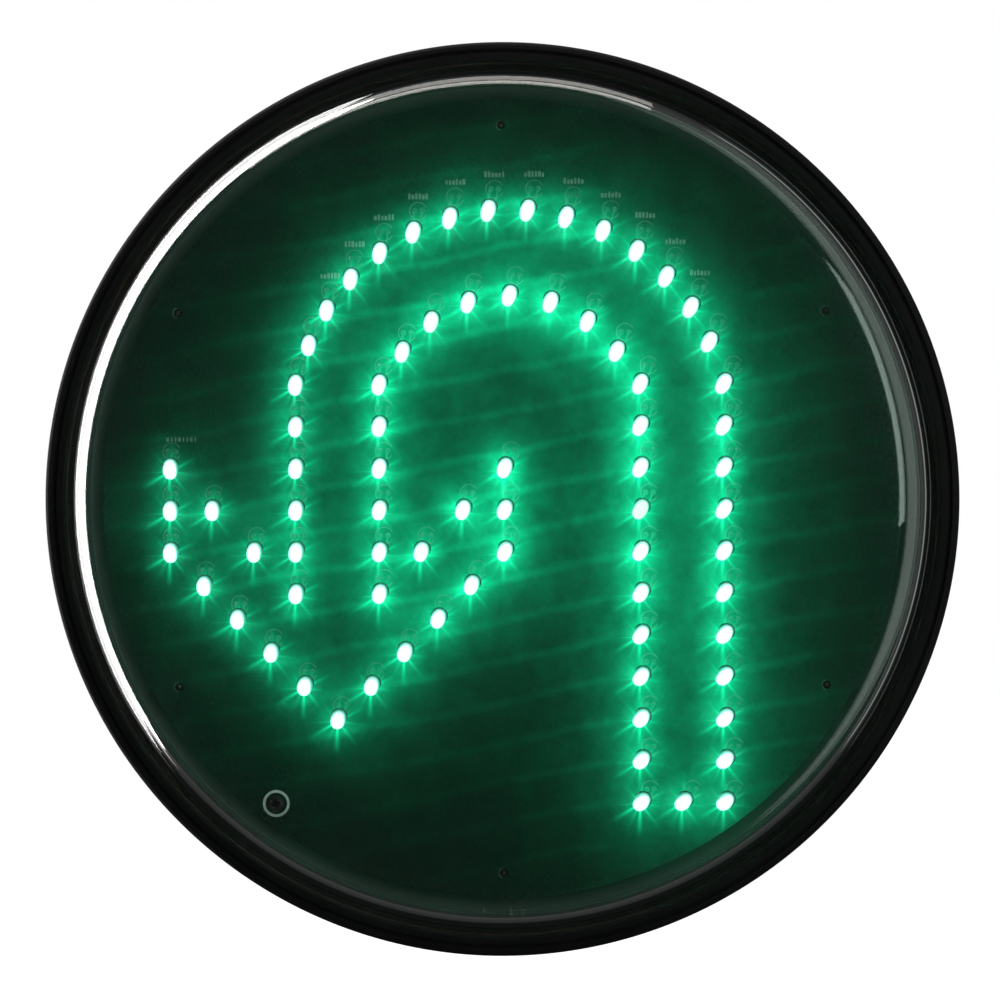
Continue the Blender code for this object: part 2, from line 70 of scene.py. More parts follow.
PITCH = 14.0
ARROW_X, ROW0_Y = 4.7, -12.0
U_IN_R, U_OUT_R, ARC_OUT_R = 43.75, 71.75, 72.6
LED_R, LED_LEN, LED_REACH, LEAN, AIM = 2.5, 8.6, 21.0, 0.0375, (-75.0, -190.0)
SCREW_AT = (-75.0, -100.2)
PIN_R = 123.4
GLAND_AT = (0.0, -85.5)


# ================================================================ mesh helpers
def world(points):
    """Module frame in mm to row frame in metres."""
    p = np.asarray(points, float).reshape(-1, 3)
    return np.stack([p[:, 0], -p[:, 2], p[:, 1]], 1) * MM


def smooth(obj, degrees=35):
    obj.data.shade_smooth()
    obj.data.set_sharp_from_angle(angle=math.radians(degrees))
    return obj


def outward(mesh):
    """Turns a closed mesh's faces to point out."""
    bm = bmesh.new()
    bm.from_mesh(mesh)
    if bm.calc_volume(signed=True) < 0:
        bmesh.ops.reverse_faces(bm, faces=bm.faces)
    bm.to_mesh(mesh)
    bm.free()
    return mesh


def new_piece(name, mesh, mat, replaces=(), angle=35, ride=True):
    obj = bpy.data.objects.new(name, mesh)
    bpy.context.scene.collection.objects.link(obj)
    mesh.materials.clear()
    mesh.materials.append(mat)
    smooth(obj, angle)
    if ride:
        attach(obj, "root")
    if replaces:
        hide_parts(*replaces)
    return obj


def mesh_from(name, verts, faces):
    mesh = bpy.data.meshes.new(name)
    mesh.from_pydata([tuple(v) for v in verts], [], faces)
    mesh.update()
    return mesh


def fillet(points, radius=0.0, closed=True, steps=4):
    """Rounds a profile's corners with true arcs. A point may carry its own radius as a third number."""
    found = []
    n = len(points)
    for i, p in enumerate(points):
        r = p[2] if len(p) > 2 else radius
        b = Vector(p[:2])
        if r <= 0 or (not closed and i in (0, n - 1)):
            found.append(tuple(b))
            continue
        a, c = Vector(points[i - 1][:2]), Vector(points[(i + 1) % n][:2])
        u, v = a - b, c - b
        lu, lv = u.length, v.length
        u, v = u / lu, v / lv
        half = math.acos(max(-1.0, min(1.0, u.dot(v)))) / 2
        if half > math.pi / 2 - 0.02 or half < 0.02:
            found.append(tuple(b))
            continue
        reach = min(r / math.tan(half), lu * 0.48, lv * 0.48)
        s, e, w = b + u * reach, b + v * reach, math.sin(half)
        for k in range(steps + 1):
            t = k / steps
            den = (1 - t) ** 2 + 2 * w * t * (1 - t) + t * t
            q = ((1 - t) ** 2 * s + 2 * w * t * (1 - t) * b + t * t * e) / den
            found.append(tuple(q))
    return found


def lathe_arrays(profile, segs=SEGS, closed=True, at=(0, 0, 0)):
    """Verts (module mm) and faces of a turned form. An open profile begins and ends on the axis."""
    verts, faces, rings = [], [], []
    angles = [2 * math.pi * k / segs for k in range(segs)]
    for r, z in profile:
        if r < 1e-6:
            rings.append([len(verts)] * segs)
            verts.append((at[0], at[1], at[2] + z))
        else:
            start = len(verts)
            rings.append(list(range(start, start + segs)))
            verts.extend((at[0] + r * math.cos(a), at[1] + r * math.sin(a), at[2] + z) for a in angles)
    pairs = [(i, i + 1) for i in range(len(profile) - 1)] + ([(len(profile) - 1, 0)] if closed else [])
    for i, j in pairs:
        for k in range(segs):
            m = (k + 1) % segs
            quad = [rings[i][k], rings[j][k], rings[j][m], rings[i][m]]
            face = [v for n, v in enumerate(quad) if v not in quad[:n]]
            if len(face) >= 3:
                faces.append(face)
    return verts, faces


def lathe(name, profile, segs=SEGS, closed=True, at=(0, 0, 0)):
    verts, faces = lathe_arrays(profile, segs, closed, at)
    return outward(mesh_from(name, world(verts), faces))


def slab(outline, z0, z1):
    """Verts and faces of a flat outline pulled from z0 to z1."""
    n = len(outline)
    verts = [(x, y, z0) for x, y in outline] + [(x, y, z1) for x, y in outline]
    faces = [list(range(n))[::-1], list(range(n, 2 * n))]
    faces += [[i, (i + 1) % n, n + (i + 1) % n, n + i] for i in range(n)]
    return verts, faces


def ngon(r, sides, at=(0, 0), turn=0.0):
    return [(at[0] + r * math.cos(turn + 2 * math.pi * k / sides), at[1] + r * math.sin(turn + 2 * math.pi * k / sides))
            for k in range(sides)]


def rounded_rect(w, h, r, at=(0, 0), steps=4, angle=0.0):
    pts = []
    for cx, cy, a0 in ((w / 2 - r, h / 2 - r, 0), (-w / 2 + r, h / 2 - r, 90), (-w / 2 + r, -h / 2 + r, 180),
                       (w / 2 - r, -h / 2 + r, 270)):
        for k in range(steps + 1):
            a = math.radians(a0 + 90 * k / steps)
            pts.append((cx + r * math.cos(a), cy + r * math.sin(a)))
    c, s = math.cos(angle), math.sin(angle)
    return [(at[0] + x * c - y * s, at[1] + x * s + y * c) for x, y in pts]


class Shells:
    """Several closed shells gathered into one mesh."""

    def __init__(self):
        self.verts, self.faces = [], []

    def add(self, verts, faces, matrix=None):
        base = len(self.verts)
        if matrix is not None:
            verts = [tuple(matrix @ Vector(v)) for v in verts]
        self.verts.extend(verts)
        self.faces.extend([[base + i for i in f] for f in faces])
        return base

    def mesh(self, name):
        return mesh_from(name, world(self.verts), self.faces)


def bevelled(verts, faces, width, segments=2, limit=30):
    """The same closed shell with its sharp edges rounded."""
    bm = bmesh.new()
    made = [bm.verts.new(v) for v in verts]
    for f in faces:
        bm.faces.new([made[i] for i in f])
    bmesh.ops.recalc_face_normals(bm, faces=bm.faces)
    bm.normal_update()
    sharp = [e for e in bm.edges if len(e.link_faces) == 2 and e.calc_face_angle(0) > math.radians(limit)]
    bmesh.ops.bevel(bm, geom=sharp, offset=width, segments=segments, profile=0.5, affect="EDGES",
                    clamp_overlap=True)
    if bm.calc_volume(signed=True) < 0:
        bmesh.ops.reverse_faces(bm, faces=bm.faces)
    bm.verts.index_update()
    result = [tuple(v.co) for v in bm.verts], [[v.index for v in f.verts] for f in bm.faces]
    bm.free()
    return result


def temp_object(name, verts, faces):
    mesh = outward(mesh_from(name, world(verts), faces))
    obj = bpy.data.objects.new(name, mesh)
    bpy.context.scene.collection.objects.link(obj)
    return obj


def booleaned(mesh, steps):
    """The mesh after each (operation, [objects]) with Blender's exact solver. The helper objects are removed."""
    obj = bpy.data.objects.new("work", mesh)
    bpy.context.scene.collection.objects.link(obj)
    for n, (operation, others) in enumerate(steps):
        coll = bpy.data.collections.new("work_%d" % n)
        for other in others:
            coll.objects.link(other)
        modifier = obj.modifiers.new("b%d" % n, "BOOLEAN")
        modifier.operation, modifier.solver = operation, "EXACT"
        modifier.operand_type, modifier.collection = "COLLECTION", coll
        bpy.context.view_layer.update()
        made = bpy.data.meshes.new_from_object(obj.evaluated_get(bpy.context.evaluated_depsgraph_get()))
        obj.modifiers.clear()
        obj.data = made
        for other in others:
            bpy.data.objects.remove(other, do_unlink=True)
        bpy.data.collections.remove(coll)
    mesh = obj.data
    bpy.data.objects.remove(obj, do_unlink=True)
    return mesh


# ================================================================ material helpers
class Tree:
    """Short names for the shader nodes used here."""

    def __init__(self, name):
        self.mat = bpy.data.materials.new(name)
        self.mat.use_nodes = True
        self.nt = self.mat.node_tree
        self.nt.nodes.clear()
        self.out = self.nt.nodes.new("ShaderNodeOutputMaterial")
        self.bsdf = self.nt.nodes.new("ShaderNodeBsdfPrincipled")
        self.link(self.bsdf.outputs[0], self.out.inputs["Surface"])
        self._coord = None

    def link(self, a, b):
        self.nt.links.new(a, b)

    def put(self, socket, value):
        if isinstance(value, bpy.types.NodeSocket):
            self.link(value, socket)
        elif isinstance(value, (tuple, list)):
            size = len(socket.default_value)
            value = tuple(value) + (1.0,) * (size - len(value)) if size == 4 else tuple(value)
            socket.default_value = value
        else:
            socket.default_value = value

    def set(self, **values):
        for key, value in values.items():
            self.put(self.bsdf.inputs[key.replace("_", " ")], value)
        return self

    def coord(self):
        if self._coord is None:
            self._coord = self.nt.nodes.new("ShaderNodeTexCoord")
        return self._coord.outputs["Object"]

    def math(self, op, a, b=0.0, c=None, clamp=False):
        node = self.nt.nodes.new("ShaderNodeMath")
        node.operation, node.use_clamp = op, clamp
        self.put(node.inputs[0], a)
        self.put(node.inputs[1], b)
        if c is not None:
            self.put(node.inputs[2], c)
        return node.outputs[0]

    def mapped(self, scale=(1, 1, 1), rotation=(0, 0, 0), location=(0, 0, 0)):
        node = self.nt.nodes.new("ShaderNodeMapping")
        self.link(self.coord(), node.inputs["Vector"])
        node.inputs["Scale"].default_value = scale
        node.inputs["Rotation"].default_value = rotation
        node.inputs["Location"].default_value = location
        return node.outputs[0]

    def noise(self, scale, detail=3.0, rough=0.5, vector=None, distortion=0.0):
        node = self.nt.nodes.new("ShaderNodeTexNoise")
        self.link(vector if vector is not None else self.coord(), node.inputs["Vector"])
        node.inputs["Scale"].default_value = scale
        node.inputs["Detail"].default_value = detail
        node.inputs["Roughness"].default_value = rough
        node.inputs["Distortion"].default_value = distortion
        return node.outputs["Fac"]

    def voronoi(self, scale, feature="F1", vector=None, output="Distance"):
        node = self.nt.nodes.new("ShaderNodeTexVoronoi")
        node.feature = feature
        self.link(vector if vector is not None else self.coord(), node.inputs["Vector"])
        node.inputs["Scale"].default_value = scale
        return node.outputs[output]

    def wave(self, scale, vector=None, distortion=0.0, detail=0.0, direction="X", kind="BANDS"):
        node = self.nt.nodes.new("ShaderNodeTexWave")
        node.wave_type = kind
        if kind == "BANDS":
            node.bands_direction = direction
        else:
            node.rings_direction = direction
        self.link(vector if vector is not None else self.coord(), node.inputs["Vector"])
        node.inputs["Scale"].default_value = scale
        node.inputs["Distortion"].default_value = distortion
        node.inputs["Detail"].default_value = detail
        return node.outputs["Fac"]

    def range(self, value, a, b, c=0.0, d=1.0, smoothstep=False):
        node = self.nt.nodes.new("ShaderNodeMapRange")
        if smoothstep:
            node.interpolation_type = "SMOOTHSTEP"
        self.put(node.inputs["Value"], value)
        for key, v in (("From Min", a), ("From Max", b), ("To Min", c), ("To Max", d)):
            self.put(node.inputs[key], v)
        return node.outputs["Result"]

    def ramp(self, value, stops, interpolation="LINEAR"):
        node = self.nt.nodes.new("ShaderNodeValToRGB")
        self.put(node.inputs[0], value)
        node.color_ramp.interpolation = interpolation
        elements = node.color_ramp.elements
        while len(elements) < len(stops):
            elements.new(0.5)
        for element, (at, colour) in zip(elements, stops):
            element.position = at
            element.color = (*colour, 1.0) if len(colour) == 3 else colour
        return node.outputs[0]

    def mix(self, factor, a, b, blend="MIX"):
        node = self.nt.nodes.new("ShaderNodeMix")
        node.data_type, node.blend_type = "RGBA", blend
        self.put(node.inputs[0], factor)
        self.put(node.inputs[6], a)
        self.put(node.inputs[7], b)
        return node.outputs[2]

    def attribute(self, name):
        node = self.nt.nodes.new("ShaderNodeAttribute")
        node.attribute_name = name
        return node

    def split(self, vector):
        node = self.nt.nodes.new("ShaderNodeSeparateXYZ")
        self.link(vector, node.inputs[0])
        return node.outputs

    def scale_colour(self, colour, factor):
        node = self.nt.nodes.new("ShaderNodeVectorMath")
        node.operation = "SCALE"
        self.put(node.inputs[0], colour)
        self.put(node.inputs["Scale"], factor)
        return node.outputs[0]

    def bump(self, height, strength=0.3, distance=0.0001, normal=None):
        node = self.nt.nodes.new("ShaderNodeBump")
        self.put(node.inputs["Height"], height)
        node.inputs["Strength"].default_value = strength
        node.inputs["Distance"].default_value = distance
        if normal is not None:
            self.link(normal, node.inputs["Normal"])
        return node.outputs[0]

    def pointiness(self):
        return self.nt.nodes.new("ShaderNodeNewGeometry").outputs["Pointiness"]


def tint(colour, by):
    return tuple(max(0.0, c * by) for c in colour)


def plastic(name, colour, roughness=0.42, grain=2200.0, depth=0.00004, variation=0.18, blotch=38.0, specular=0.5):
    """Moulded plastic: spark-eroded grain, a slight colour drift and rubbed patches that shine a little more."""
    t = Tree(name)
    drift = t.noise(blotch, 4.0, 0.6)
    fine = t.noise(grain, 2.0, 0.6)
    speck = t.voronoi(grain * 0.8)
    t.set(Base_Color=t.mix(drift, tint(colour, 1 - variation), tint(colour, 1 + variation)),
          Roughness=t.math("ADD", t.range(drift, 0.3, 0.7, roughness - 0.06, roughness + 0.07),
                           t.range(fine, 0.3, 0.7, -0.03, 0.03)),
          Specular_IOR_Level=specular,
          Normal=t.bump(t.math("ADD", fine, t.math("MULTIPLY", speck, 0.6)), 0.35, depth))
    return t.mat


def metal(name, colour, roughness=0.3, brushed=900.0, variation=0.12, stretch=(1, 1, 0.04)):
    """Plated or drawn metal: fine drawing lines, cloudy plating."""
    t = Tree(name)
    lines = t.noise(brushed, 3.0, 0.6, t.mapped(scale=stretch))
    cloud = t.noise(120.0, 4.0, 0.6)
    t.set(Base_Color=t.mix(cloud, tint(colour, 1 - variation), tint(colour, 1 + variation)), Metallic=1.0,
          Roughness=t.math("ADD", t.range(cloud, 0.3, 0.7, roughness - 0.07, roughness + 0.1),
                           t.range(lines, 0.3, 0.7, -0.05, 0.05)),
          Normal=t.bump(lines, 0.15, 0.00003))
    return t.mat


# ================================================================ materials
def make_rubber():
    t = Tree("epdm_rubber")
    dust = t.noise(60.0, 5.0, 0.65)
    grain = t.noise(1500.0, 3.0, 0.6)
    bloom = t.range(t.noise(14.0, 3.0, 0.6), 0.45, 0.75)
    colour = t.mix(dust, (0.0045, 0.0045, 0.005), (0.011, 0.0105, 0.0103))
    colour = t.mix(t.math("MULTIPLY", bloom, 0.40), colour, (0.020, 0.019, 0.0185))
    t.set(Base_Color=colour, Roughness=t.math("ADD", t.range(dust, 0.3, 0.7, 0.56, 0.68), t.range(grain, 0.3, 0.7, -0.04, 0.04)),
          Specular_IOR_Level=0.16, Sheen_Weight=0.02, Sheen_Roughness=0.5,
          Normal=t.bump(grain, 0.4, 0.00005))
    return t.mat


def make_lens():
    """Clear polycarbonate. Lamps reach through it by a Transparent shader, so that the inside is lit as through real glass."""
    t = Tree("clear_polycarbonate")
    flow = t.noise(9.0, 2.0, 0.5, t.mapped(scale=(1.0, 1.0, 3.0)))
    haze = t.noise(70.0, 5.0, 0.65)
    fine = t.noise(520.0, 3.0, 0.5)
    t.set(Base_Color=t.mix(haze, (0.955, 0.985, 0.97), (0.985, 1.0, 0.99)),
          Roughness=t.range(t.math("MULTIPLY", haze, t.range(fine, 0.3, 0.7, 0.8, 1.2)), 0.4, 0.75, 0.010, 0.035),
          Transmission_Weight=1.0, IOR=1.585,
          Normal=t.bump(flow, 0.01, 0.0002))
    path = t.nt.nodes.new("ShaderNodeLightPath")
    clear = t.nt.nodes.new("ShaderNodeBsdfTransparent")
    clear.inputs["Color"].default_value = (0.86, 0.90, 0.88, 1.0)
    mix = t.nt.nodes.new("ShaderNodeMixShader")
    t.link(path.outputs["Is Shadow Ray"], mix.inputs[0])
    t.link(t.bsdf.outputs[0], mix.inputs[1])
    t.link(clear.outputs[0], mix.inputs[2])
    t.link(mix.outputs[0], t.out.inputs["Surface"])
    return t.mat


RAYS = ((-92, 1.0), (-149, 0.85), (-52, 0.55), (180, 0.45), (-8, 0.35), (27, 0.60), (84, 0.50), (130, 0.28), (-118, 0.30))


def light_nodes(t):
    """What the LEDs throw on the board: the pool of light, and each lamp's rays from its own place.
    Returns the brightness of the pools and of the rays."""
    x, y, z = t.split(t.coord())
    mottle = t.noise(150.0, 4.0, 0.65)
    cloud = t.noise(48.0, 3.0, 0.55)
    pool = t.attribute("glow").outputs["Fac"]
    pool = t.math("MULTIPLY", pool, t.range(mottle, 0.3, 0.7, 0.78, 1.26))
    pool = t.math("MULTIPLY", pool, t.range(cloud, 0.3, 0.7, 0.78, 1.22))
    # Long faint streaks that climb to the right, one from each lamp of the long shaft.
    xm, zm = t.math("MULTIPLY", x, 1000.0), t.math("MULTIPLY", z, 1000.0)
    streaks = None
    for column, side in ((ARROW_X + U_OUT_R - 4.6, 1.0), (ARROW_X + U_IN_R - 3.7, -1.0)):
        along = t.math("SUBTRACT", xm, column)
        level = t.math("SUBTRACT", zm, t.math("MULTIPLY", along, 0.19))
        level = t.math("ADD", level, t.range(t.noise(26.0, 2.0, 0.5), 0.3, 0.7, -1.4, 1.4))
        phase = t.math("PINGPONG", t.math("SUBTRACT", level, ROW0_Y * 0.97 - 5.7), PITCH * 0.97 / 2)
        line = t.range(phase, 0.0, 2.4, 1.0, 0.0, smoothstep=True)
        reach = t.range(t.math("MULTIPLY", along, side), 4.0, 14.0, 0.0, 1.0, smoothstep=True)
        line = t.math("MULTIPLY", line, reach)
        streaks = line if streaks is None else t.math("ADD", streaks, line)
    pool = t.math("MULTIPLY", pool, t.math("ADD", 1.0, t.math("MULTIPLY", streaks, 0.42)))
    total = None
    for k in range(4):
        dx, dy, gain = t.split(t.attribute("lamp_%d" % k).outputs["Vector"])
        angle = t.math("ARCTAN2", dy, dx)
        turn = t.math("ADD", t.math("DIVIDE", angle, 2 * math.pi), 0.5)
        reach = t.math("SQRT", t.math("ADD", t.math("MULTIPLY", dx, dx), t.math("MULTIPLY", dy, dy)))
        stops = []
        for degrees, height in sorted(((d + 180) % 360, h) for d, h in RAYS):
            at = degrees / 360
            wide = 0.018 + 0.012 * height
            stops += [(max(at - wide, 0.0), (0.04,) * 3), (at, (height,) * 3), (min(at + wide, 1.0), (0.04,) * 3)]
        stops.sort()
        peaks = t.ramp(turn, stops)
        narrow = t.math("POWER", peaks, t.range(reach, 2.0, 12.0, 0.7, 2.4))
        fade = t.math("MULTIPLY", t.math("EXPONENT", t.math("MULTIPLY", reach, -0.30)),
                      t.range(reach, 8.0, 11.8, 1.0, 0.0, smoothstep=True))
        here = t.math("MULTIPLY", t.math("MULTIPLY", narrow, fade), gain)
        total = here if total is None else t.math("ADD", total, here)
    return pool, total


def make_board():
    t = Tree("dark_solder_mask")
    cloud = t.noise(30.0, 5.0, 0.6)
    weave_a = t.wave(260.0, t.mapped(scale=(1, 1, 1)), 0.6, 1.0, "X")
    weave_b = t.wave(260.0, t.mapped(scale=(1, 1, 1)), 0.6, 1.0, "Z")
    weave = t.math("MULTIPLY", weave_a, weave_b)
    fine = t.noise(700.0, 3.0, 0.6)
    base = t.mix(cloud, (0.0030, 0.0095, 0.0065), (0.0055, 0.017, 0.0115))
    base = t.mix(t.math("MULTIPLY", weave, 0.25), base, (0.0065, 0.020, 0.0135))
    pool, rays = light_nodes(t)
    green = t.math("ADD", pool, t.math("MULTIPLY", rays, 2.5))
    glow = t.scale_colour((0.004, 1.0, 0.42), green)
    t.set(Base_Color=base, Roughness=t.range(t.math("ADD", fine, cloud), 0.7, 1.3, 0.20, 0.34),
          Specular_IOR_Level=0.28,
          Emission_Color=glow, Emission_Strength=1.0,
          Normal=t.bump(t.math("ADD", weave, t.math("MULTIPLY", fine, 0.5)), 0.12, 0.00006))
    return t.mat


def make_print():
    """White legend ink on the board, lit by the lamps beside it."""
    t = Tree("legend_ink")
    patch = t.noise(900.0, 4.0, 0.7)
    thin = t.noise(160.0, 3.0, 0.6)
    pool = t.attribute("glow").outputs["Fac"]
    shade = t.math("MULTIPLY", t.range(patch, 0.3, 0.7, 0.82, 1.12), t.range(thin, 0.3, 0.7, 0.88, 1.12))
    glow = t.scale_colour((0.10, 1.0, 0.52), t.math("MULTIPLY", t.math("MULTIPLY", pool, 1.35), shade))
    t.set(Base_Color=t.mix(patch, (0.11, 0.14, 0.13), (0.18, 0.21, 0.20)), Roughness=t.range(patch, 0.3, 0.7, 0.5, 0.7),
          Emission_Color=glow, Emission_Strength=1.0, Normal=t.bump(patch, 0.3, 0.00003))
    return t.mat


def make_led():
    """A lit lamp: its glowing part and its dark collar come from the "lit" colours on its points."""
    t = Tree("lit_green_led")
    lit = t.attribute("lit").outputs["Color"]
    swirl = t.noise(900.0, 2.0, 0.5)
    t.set(Base_Color=t.mix(swirl, (0.010, 0.070, 0.040), (0.016, 0.110, 0.065)), Roughness=t.range(swirl, 0.3, 0.7, 0.05, 0.12),
          Specular_IOR_Level=0.55,
          Emission_Color=t.scale_colour(lit, t.range(swirl, 0.3, 0.7, 0.94, 1.06)), Emission_Strength=1.0,
          Normal=t.bump(swirl, 0.04, 0.00004))
    return t.mat


RUBBER = make_rubber()
LENS = make_lens()
BOARD = make_board()
INK = make_print()
LED = make_led()
BLACK_PC = plastic("black_polycarbonate", (0.0165, 0.0165, 0.0175), 0.44, 1900.0, 0.00006, 0.25, 24.0)


def make_housing():
    """The same black moulding, with the lamps' light on its inner wall."""
    t = Tree("black_polycarbonate_lit")
    drift, fine, speck = t.noise(24.0, 4.0, 0.6), t.noise(1900.0, 2.0, 0.6), t.voronoi(1500.0)
    lit = t.math("MULTIPLY", t.attribute("glow").outputs["Fac"], t.range(drift, 0.3, 0.7, 0.7, 1.2))
    t.set(Base_Color=t.mix(drift, (0.0125, 0.0125, 0.013), (0.0205, 0.0205, 0.022)),
          Roughness=t.math("ADD", t.range(drift, 0.3, 0.7, 0.38, 0.51), t.range(fine, 0.3, 0.7, -0.03, 0.03)),
          Emission_Color=t.scale_colour((0.06, 1.0, 0.50), lit), Emission_Strength=1.0,
          Normal=t.bump(t.math("ADD", fine, t.math("MULTIPLY", speck, 0.6)), 0.35, 0.00006))
    return t.mat


HOUSING = make_housing()
SILICONE = plastic("silicone", (0.16, 0.075, 0.06), 0.5, 1300.0, 0.00003)


def make_tin():
    """Tinned wire and solder, which pick up the lamps' green."""
    t = Tree("tinned_lead")
    cloud = t.noise(400.0, 3.0, 0.6)
    pool = t.attribute("glow").outputs["Fac"]
    t.set(Base_Color=t.mix(cloud, (0.05, 0.07, 0.06), (0.09, 0.12, 0.10)), Metallic=0.6, Roughness=t.range(cloud, 0.3, 0.7, 0.35, 0.5),
          Emission_Color=t.scale_colour((0.01, 1.0, 0.45), t.math("MULTIPLY", pool, t.range(cloud, 0.3, 0.7, 0.95, 1.2))),
          Emission_Strength=1.0, Normal=t.bump(cloud, 0.2, 0.00003))
    return t.mat


TIN = make_tin()
PAD = plastic("tinned_ring", (0.58, 0.64, 0.62), 0.5, 1600.0, 0.00002)
STEEL = metal("zinc_steel", (0.60, 0.61, 0.62), 0.30, 1300.0, 0.16)
BLACK_STEEL = metal("black_steel", (0.055, 0.055, 0.058), 0.38, 1300.0, 0.3)
NYLON = plastic("grey_nylon", (0.055, 0.056, 0.060), 0.46, 2400.0, 0.00004, 0.15)
GLAND_RUBBER = plastic("gland_rubber", (0.012, 0.012, 0.012), 0.6, 1500.0, 0.00005, 0.3)


# ================================================================ gasket
gasket_profile = fillet([
    (143.1, -0.9, 0.35), (143.9, 0.0, 0.35), (146.0, 0.0, 0.25), (146.4, -1.0, 0.25), (147.1, -1.0, 0.25),
    (147.5, 0.0, 0.25), (148.9, -0.25, 0.5), (149.72, -0.75, 0.35), (GASKET_R, -2.3, 0.4), (GASKET_R, -5.2, 0.5), (149.2, -6.2, 0.5),
    (GASKET_R, -7.2, 0.5), (GASKET_R, -11.2, 0.8), (148.8, -12.6, 0.5), (143.1, -12.6, 0.4), (143.1, -9.9, 0.2),
    (147.3, -9.9, 0.2), (147.3, -2.7, 0.2), (143.1, -2.7, 0.2)], steps=5)
new_piece("gasket_ring", lathe("gasket_ring", gasket_profile), RUBBER, ["gasket"], 50)


# ================================================================ lens
EDGE_R, EDGE_Z, APEX_Z, THICK = 129.6, 21.6, 26.0, 3.0
# How steeply the outside leans over, from the dome round the shoulder to the wall: radius in mm, slope in degrees.
SLOPES = ((127.3, 3.83), (129.9, 8.3), (130.6, 10.5), (132.4, 18.5), (134.4, 31.0), (136.2, 45.5), (137.6, 59.0), (138.7, 70.0),
        (139.4, 79.0))


def outer_skin():
    """(radius, height, slope) of the outside, from the axis to the foot of the shoulder."""
    found = []
    for i in range(30):
        r = 127.3 * i / 29
        found.append((r, APEX_Z - (APEX_Z - EDGE_Z) * (r / EDGE_R) ** 2,
                      math.atan(2 * (APEX_Z - EDGE_Z) * r / EDGE_R ** 2)))
    radii, slopes = zip(*SLOPES)
    steps = 520
    z = found[-1][1]
    before = 0.0
    for k in range(1, steps + 1):
        r0 = radii[0] + (radii[-1] - radii[0]) * (k - 1) / steps
        r1 = radii[0] + (radii[-1] - radii[0]) * k / steps
        slope = math.radians(float(np.interp((r0 + r1) / 2, radii, slopes)))
        z -= math.tan(slope) * (r1 - r0)
        end = math.radians(float(np.interp(r1, radii, slopes)))
        # a row every two degrees of turn, or every half millimetre
        if end - found[-1][2] >= math.radians(1.6) or r1 - found[-1][0] >= 0.35 or k == steps:
            found.append((r1, z, end))
    return found


skin = outer_skin()
foot_r, foot_z = skin[-1][0], skin[-1][1]
inner_skin = [(r - THICK * math.sin(a), z - THICK * math.cos(a)) for r, z, a in skin]
lens_profile = [(r, z) for r, z, a in skin]
lens_profile += fillet([(foot_r, foot_z, 0), (141.9, 2.6, 0.6), (142.25, 1.9, 0.35), (142.6, 0.0, 0.6), (142.6, -3.0, 0.25), (147.0, -3.0, 0.3),
                        (147.0, -6.15, 0.3), (139.5, -6.15, 0.4), (139.4, -0.5, 0.5), (inner_skin[-1][0], inner_skin[-1][1], 0)],
                       closed=False)[1:-1]
lens_profile += inner_skin[::-1]
lens = new_piece("lens_shell", lathe("lens_shell", lens_profile, 300, closed=False), LENS, ["lens"], 180)

# Two short index ribs stand on the floor of the wall at the bottom, with the gate mark beside them.
ribs = Shells()
for side in (-1, 1):
    v, f = slab(rounded_rect(1.0, 4.6, 0.4, (4.2 + side * 2.0, -136.7)), -5.4, 1.8)
    ribs.add(*bevelled(v, f, 0.18, 2))
v, f = slab(rounded_rect(0.7, 4.4, 0.3, (-6.8, -136.9)), -5.4, 0.8)
ribs.add(*bevelled(v, f, 0.15, 2))
new_piece("lens_index_ribs", ribs.mesh("lens_index_ribs"), LENS, ["lens"], 40)

new_piece("lens_seal_ring", lathe("lens_seal_ring", fillet(
    [(143.2, -6.45), (145.6, -6.45), (145.6, -8.0), (143.2, -8.0)], 0.55)), SILICONE, ["lens_seal"], 60)


# ================================================================ LED layout
head_x = ARROW_X - (U_IN_R + U_OUT_R) / 2
arc_y = ROW0_Y + 3 * PITCH


def row(n):
    return ROW0_Y + n * PITCH


def polar(r, degrees):
    return r * math.cos(math.radians(degrees)), r * math.sin(math.radians(degrees))


def outline_points():
    """Foot of every LED, in order round the arrow."""
    found = [(ARROW_X + U_OUT_R, row(n)) for n in range(-6, 5)]
    for k in range(14):
        x, y = polar(ARC_OUT_R, 90.3 + 10.4 * (k - 6.5))
        found.append((ARROW_X + x, arc_y + y))
    found += [(ARROW_X - U_OUT_R, row(n)) for n in range(4, -2, -1)]
    found += [(head_x - 2 * PITCH, row(0)), (head_x - 3 * PITCH, row(1))]
    found += [(head_x - 4 * PITCH, row(n)) for n in (2, 1, 0)]
    edge = 4 * PITCH / 5
    found += [(head_x - 4 * PITCH + edge * k, row(0) - edge * k) for k in range(1, 5)]
    found += [(head_x, row(-4))]
    found += [(head_x + edge * k, row(-4) + edge * k) for k in range(1, 5)]
    found += [(head_x + 4 * PITCH, row(n)) for n in (0, 1, 2)]
    found += [(head_x + 3 * PITCH, row(1)), (head_x + 2 * PITCH, row(0))]
    found += [(ARROW_X - U_IN_R, row(n)) for n in range(-1, 5)]
    for k in range(7):
        x, y = polar(U_IN_R, 145.2 - 18.4 * k)
        found.append((ARROW_X + x, arc_y + y))
    found += [(ARROW_X + U_IN_R, row(n)) for n in range(4, -7, -1)]
    found += [(ARROW_X + (U_IN_R + U_OUT_R) / 2, row(-6))]
    return found


def lean_of(x, y):
    v = Vector((LEAN * (AIM[0] - x), LEAN * (AIM[1] - y), 0.0))
    v.z = math.sqrt(LED_REACH ** 2 - v.length_squared)
    return v


def led_frame(x, y):
    """Foot and turning of one LED: z runs from foot to tip, x through both leads."""
    up = lean_of(x, y).normalized()
    across = Vector((0.0, 1.0, 0.0)).cross(up).normalized()
    turn = Matrix((across, up.cross(across), up)).transposed().to_4x4()
    return Matrix.Translation(Vector((x, y, BOARD_Z))) @ turn


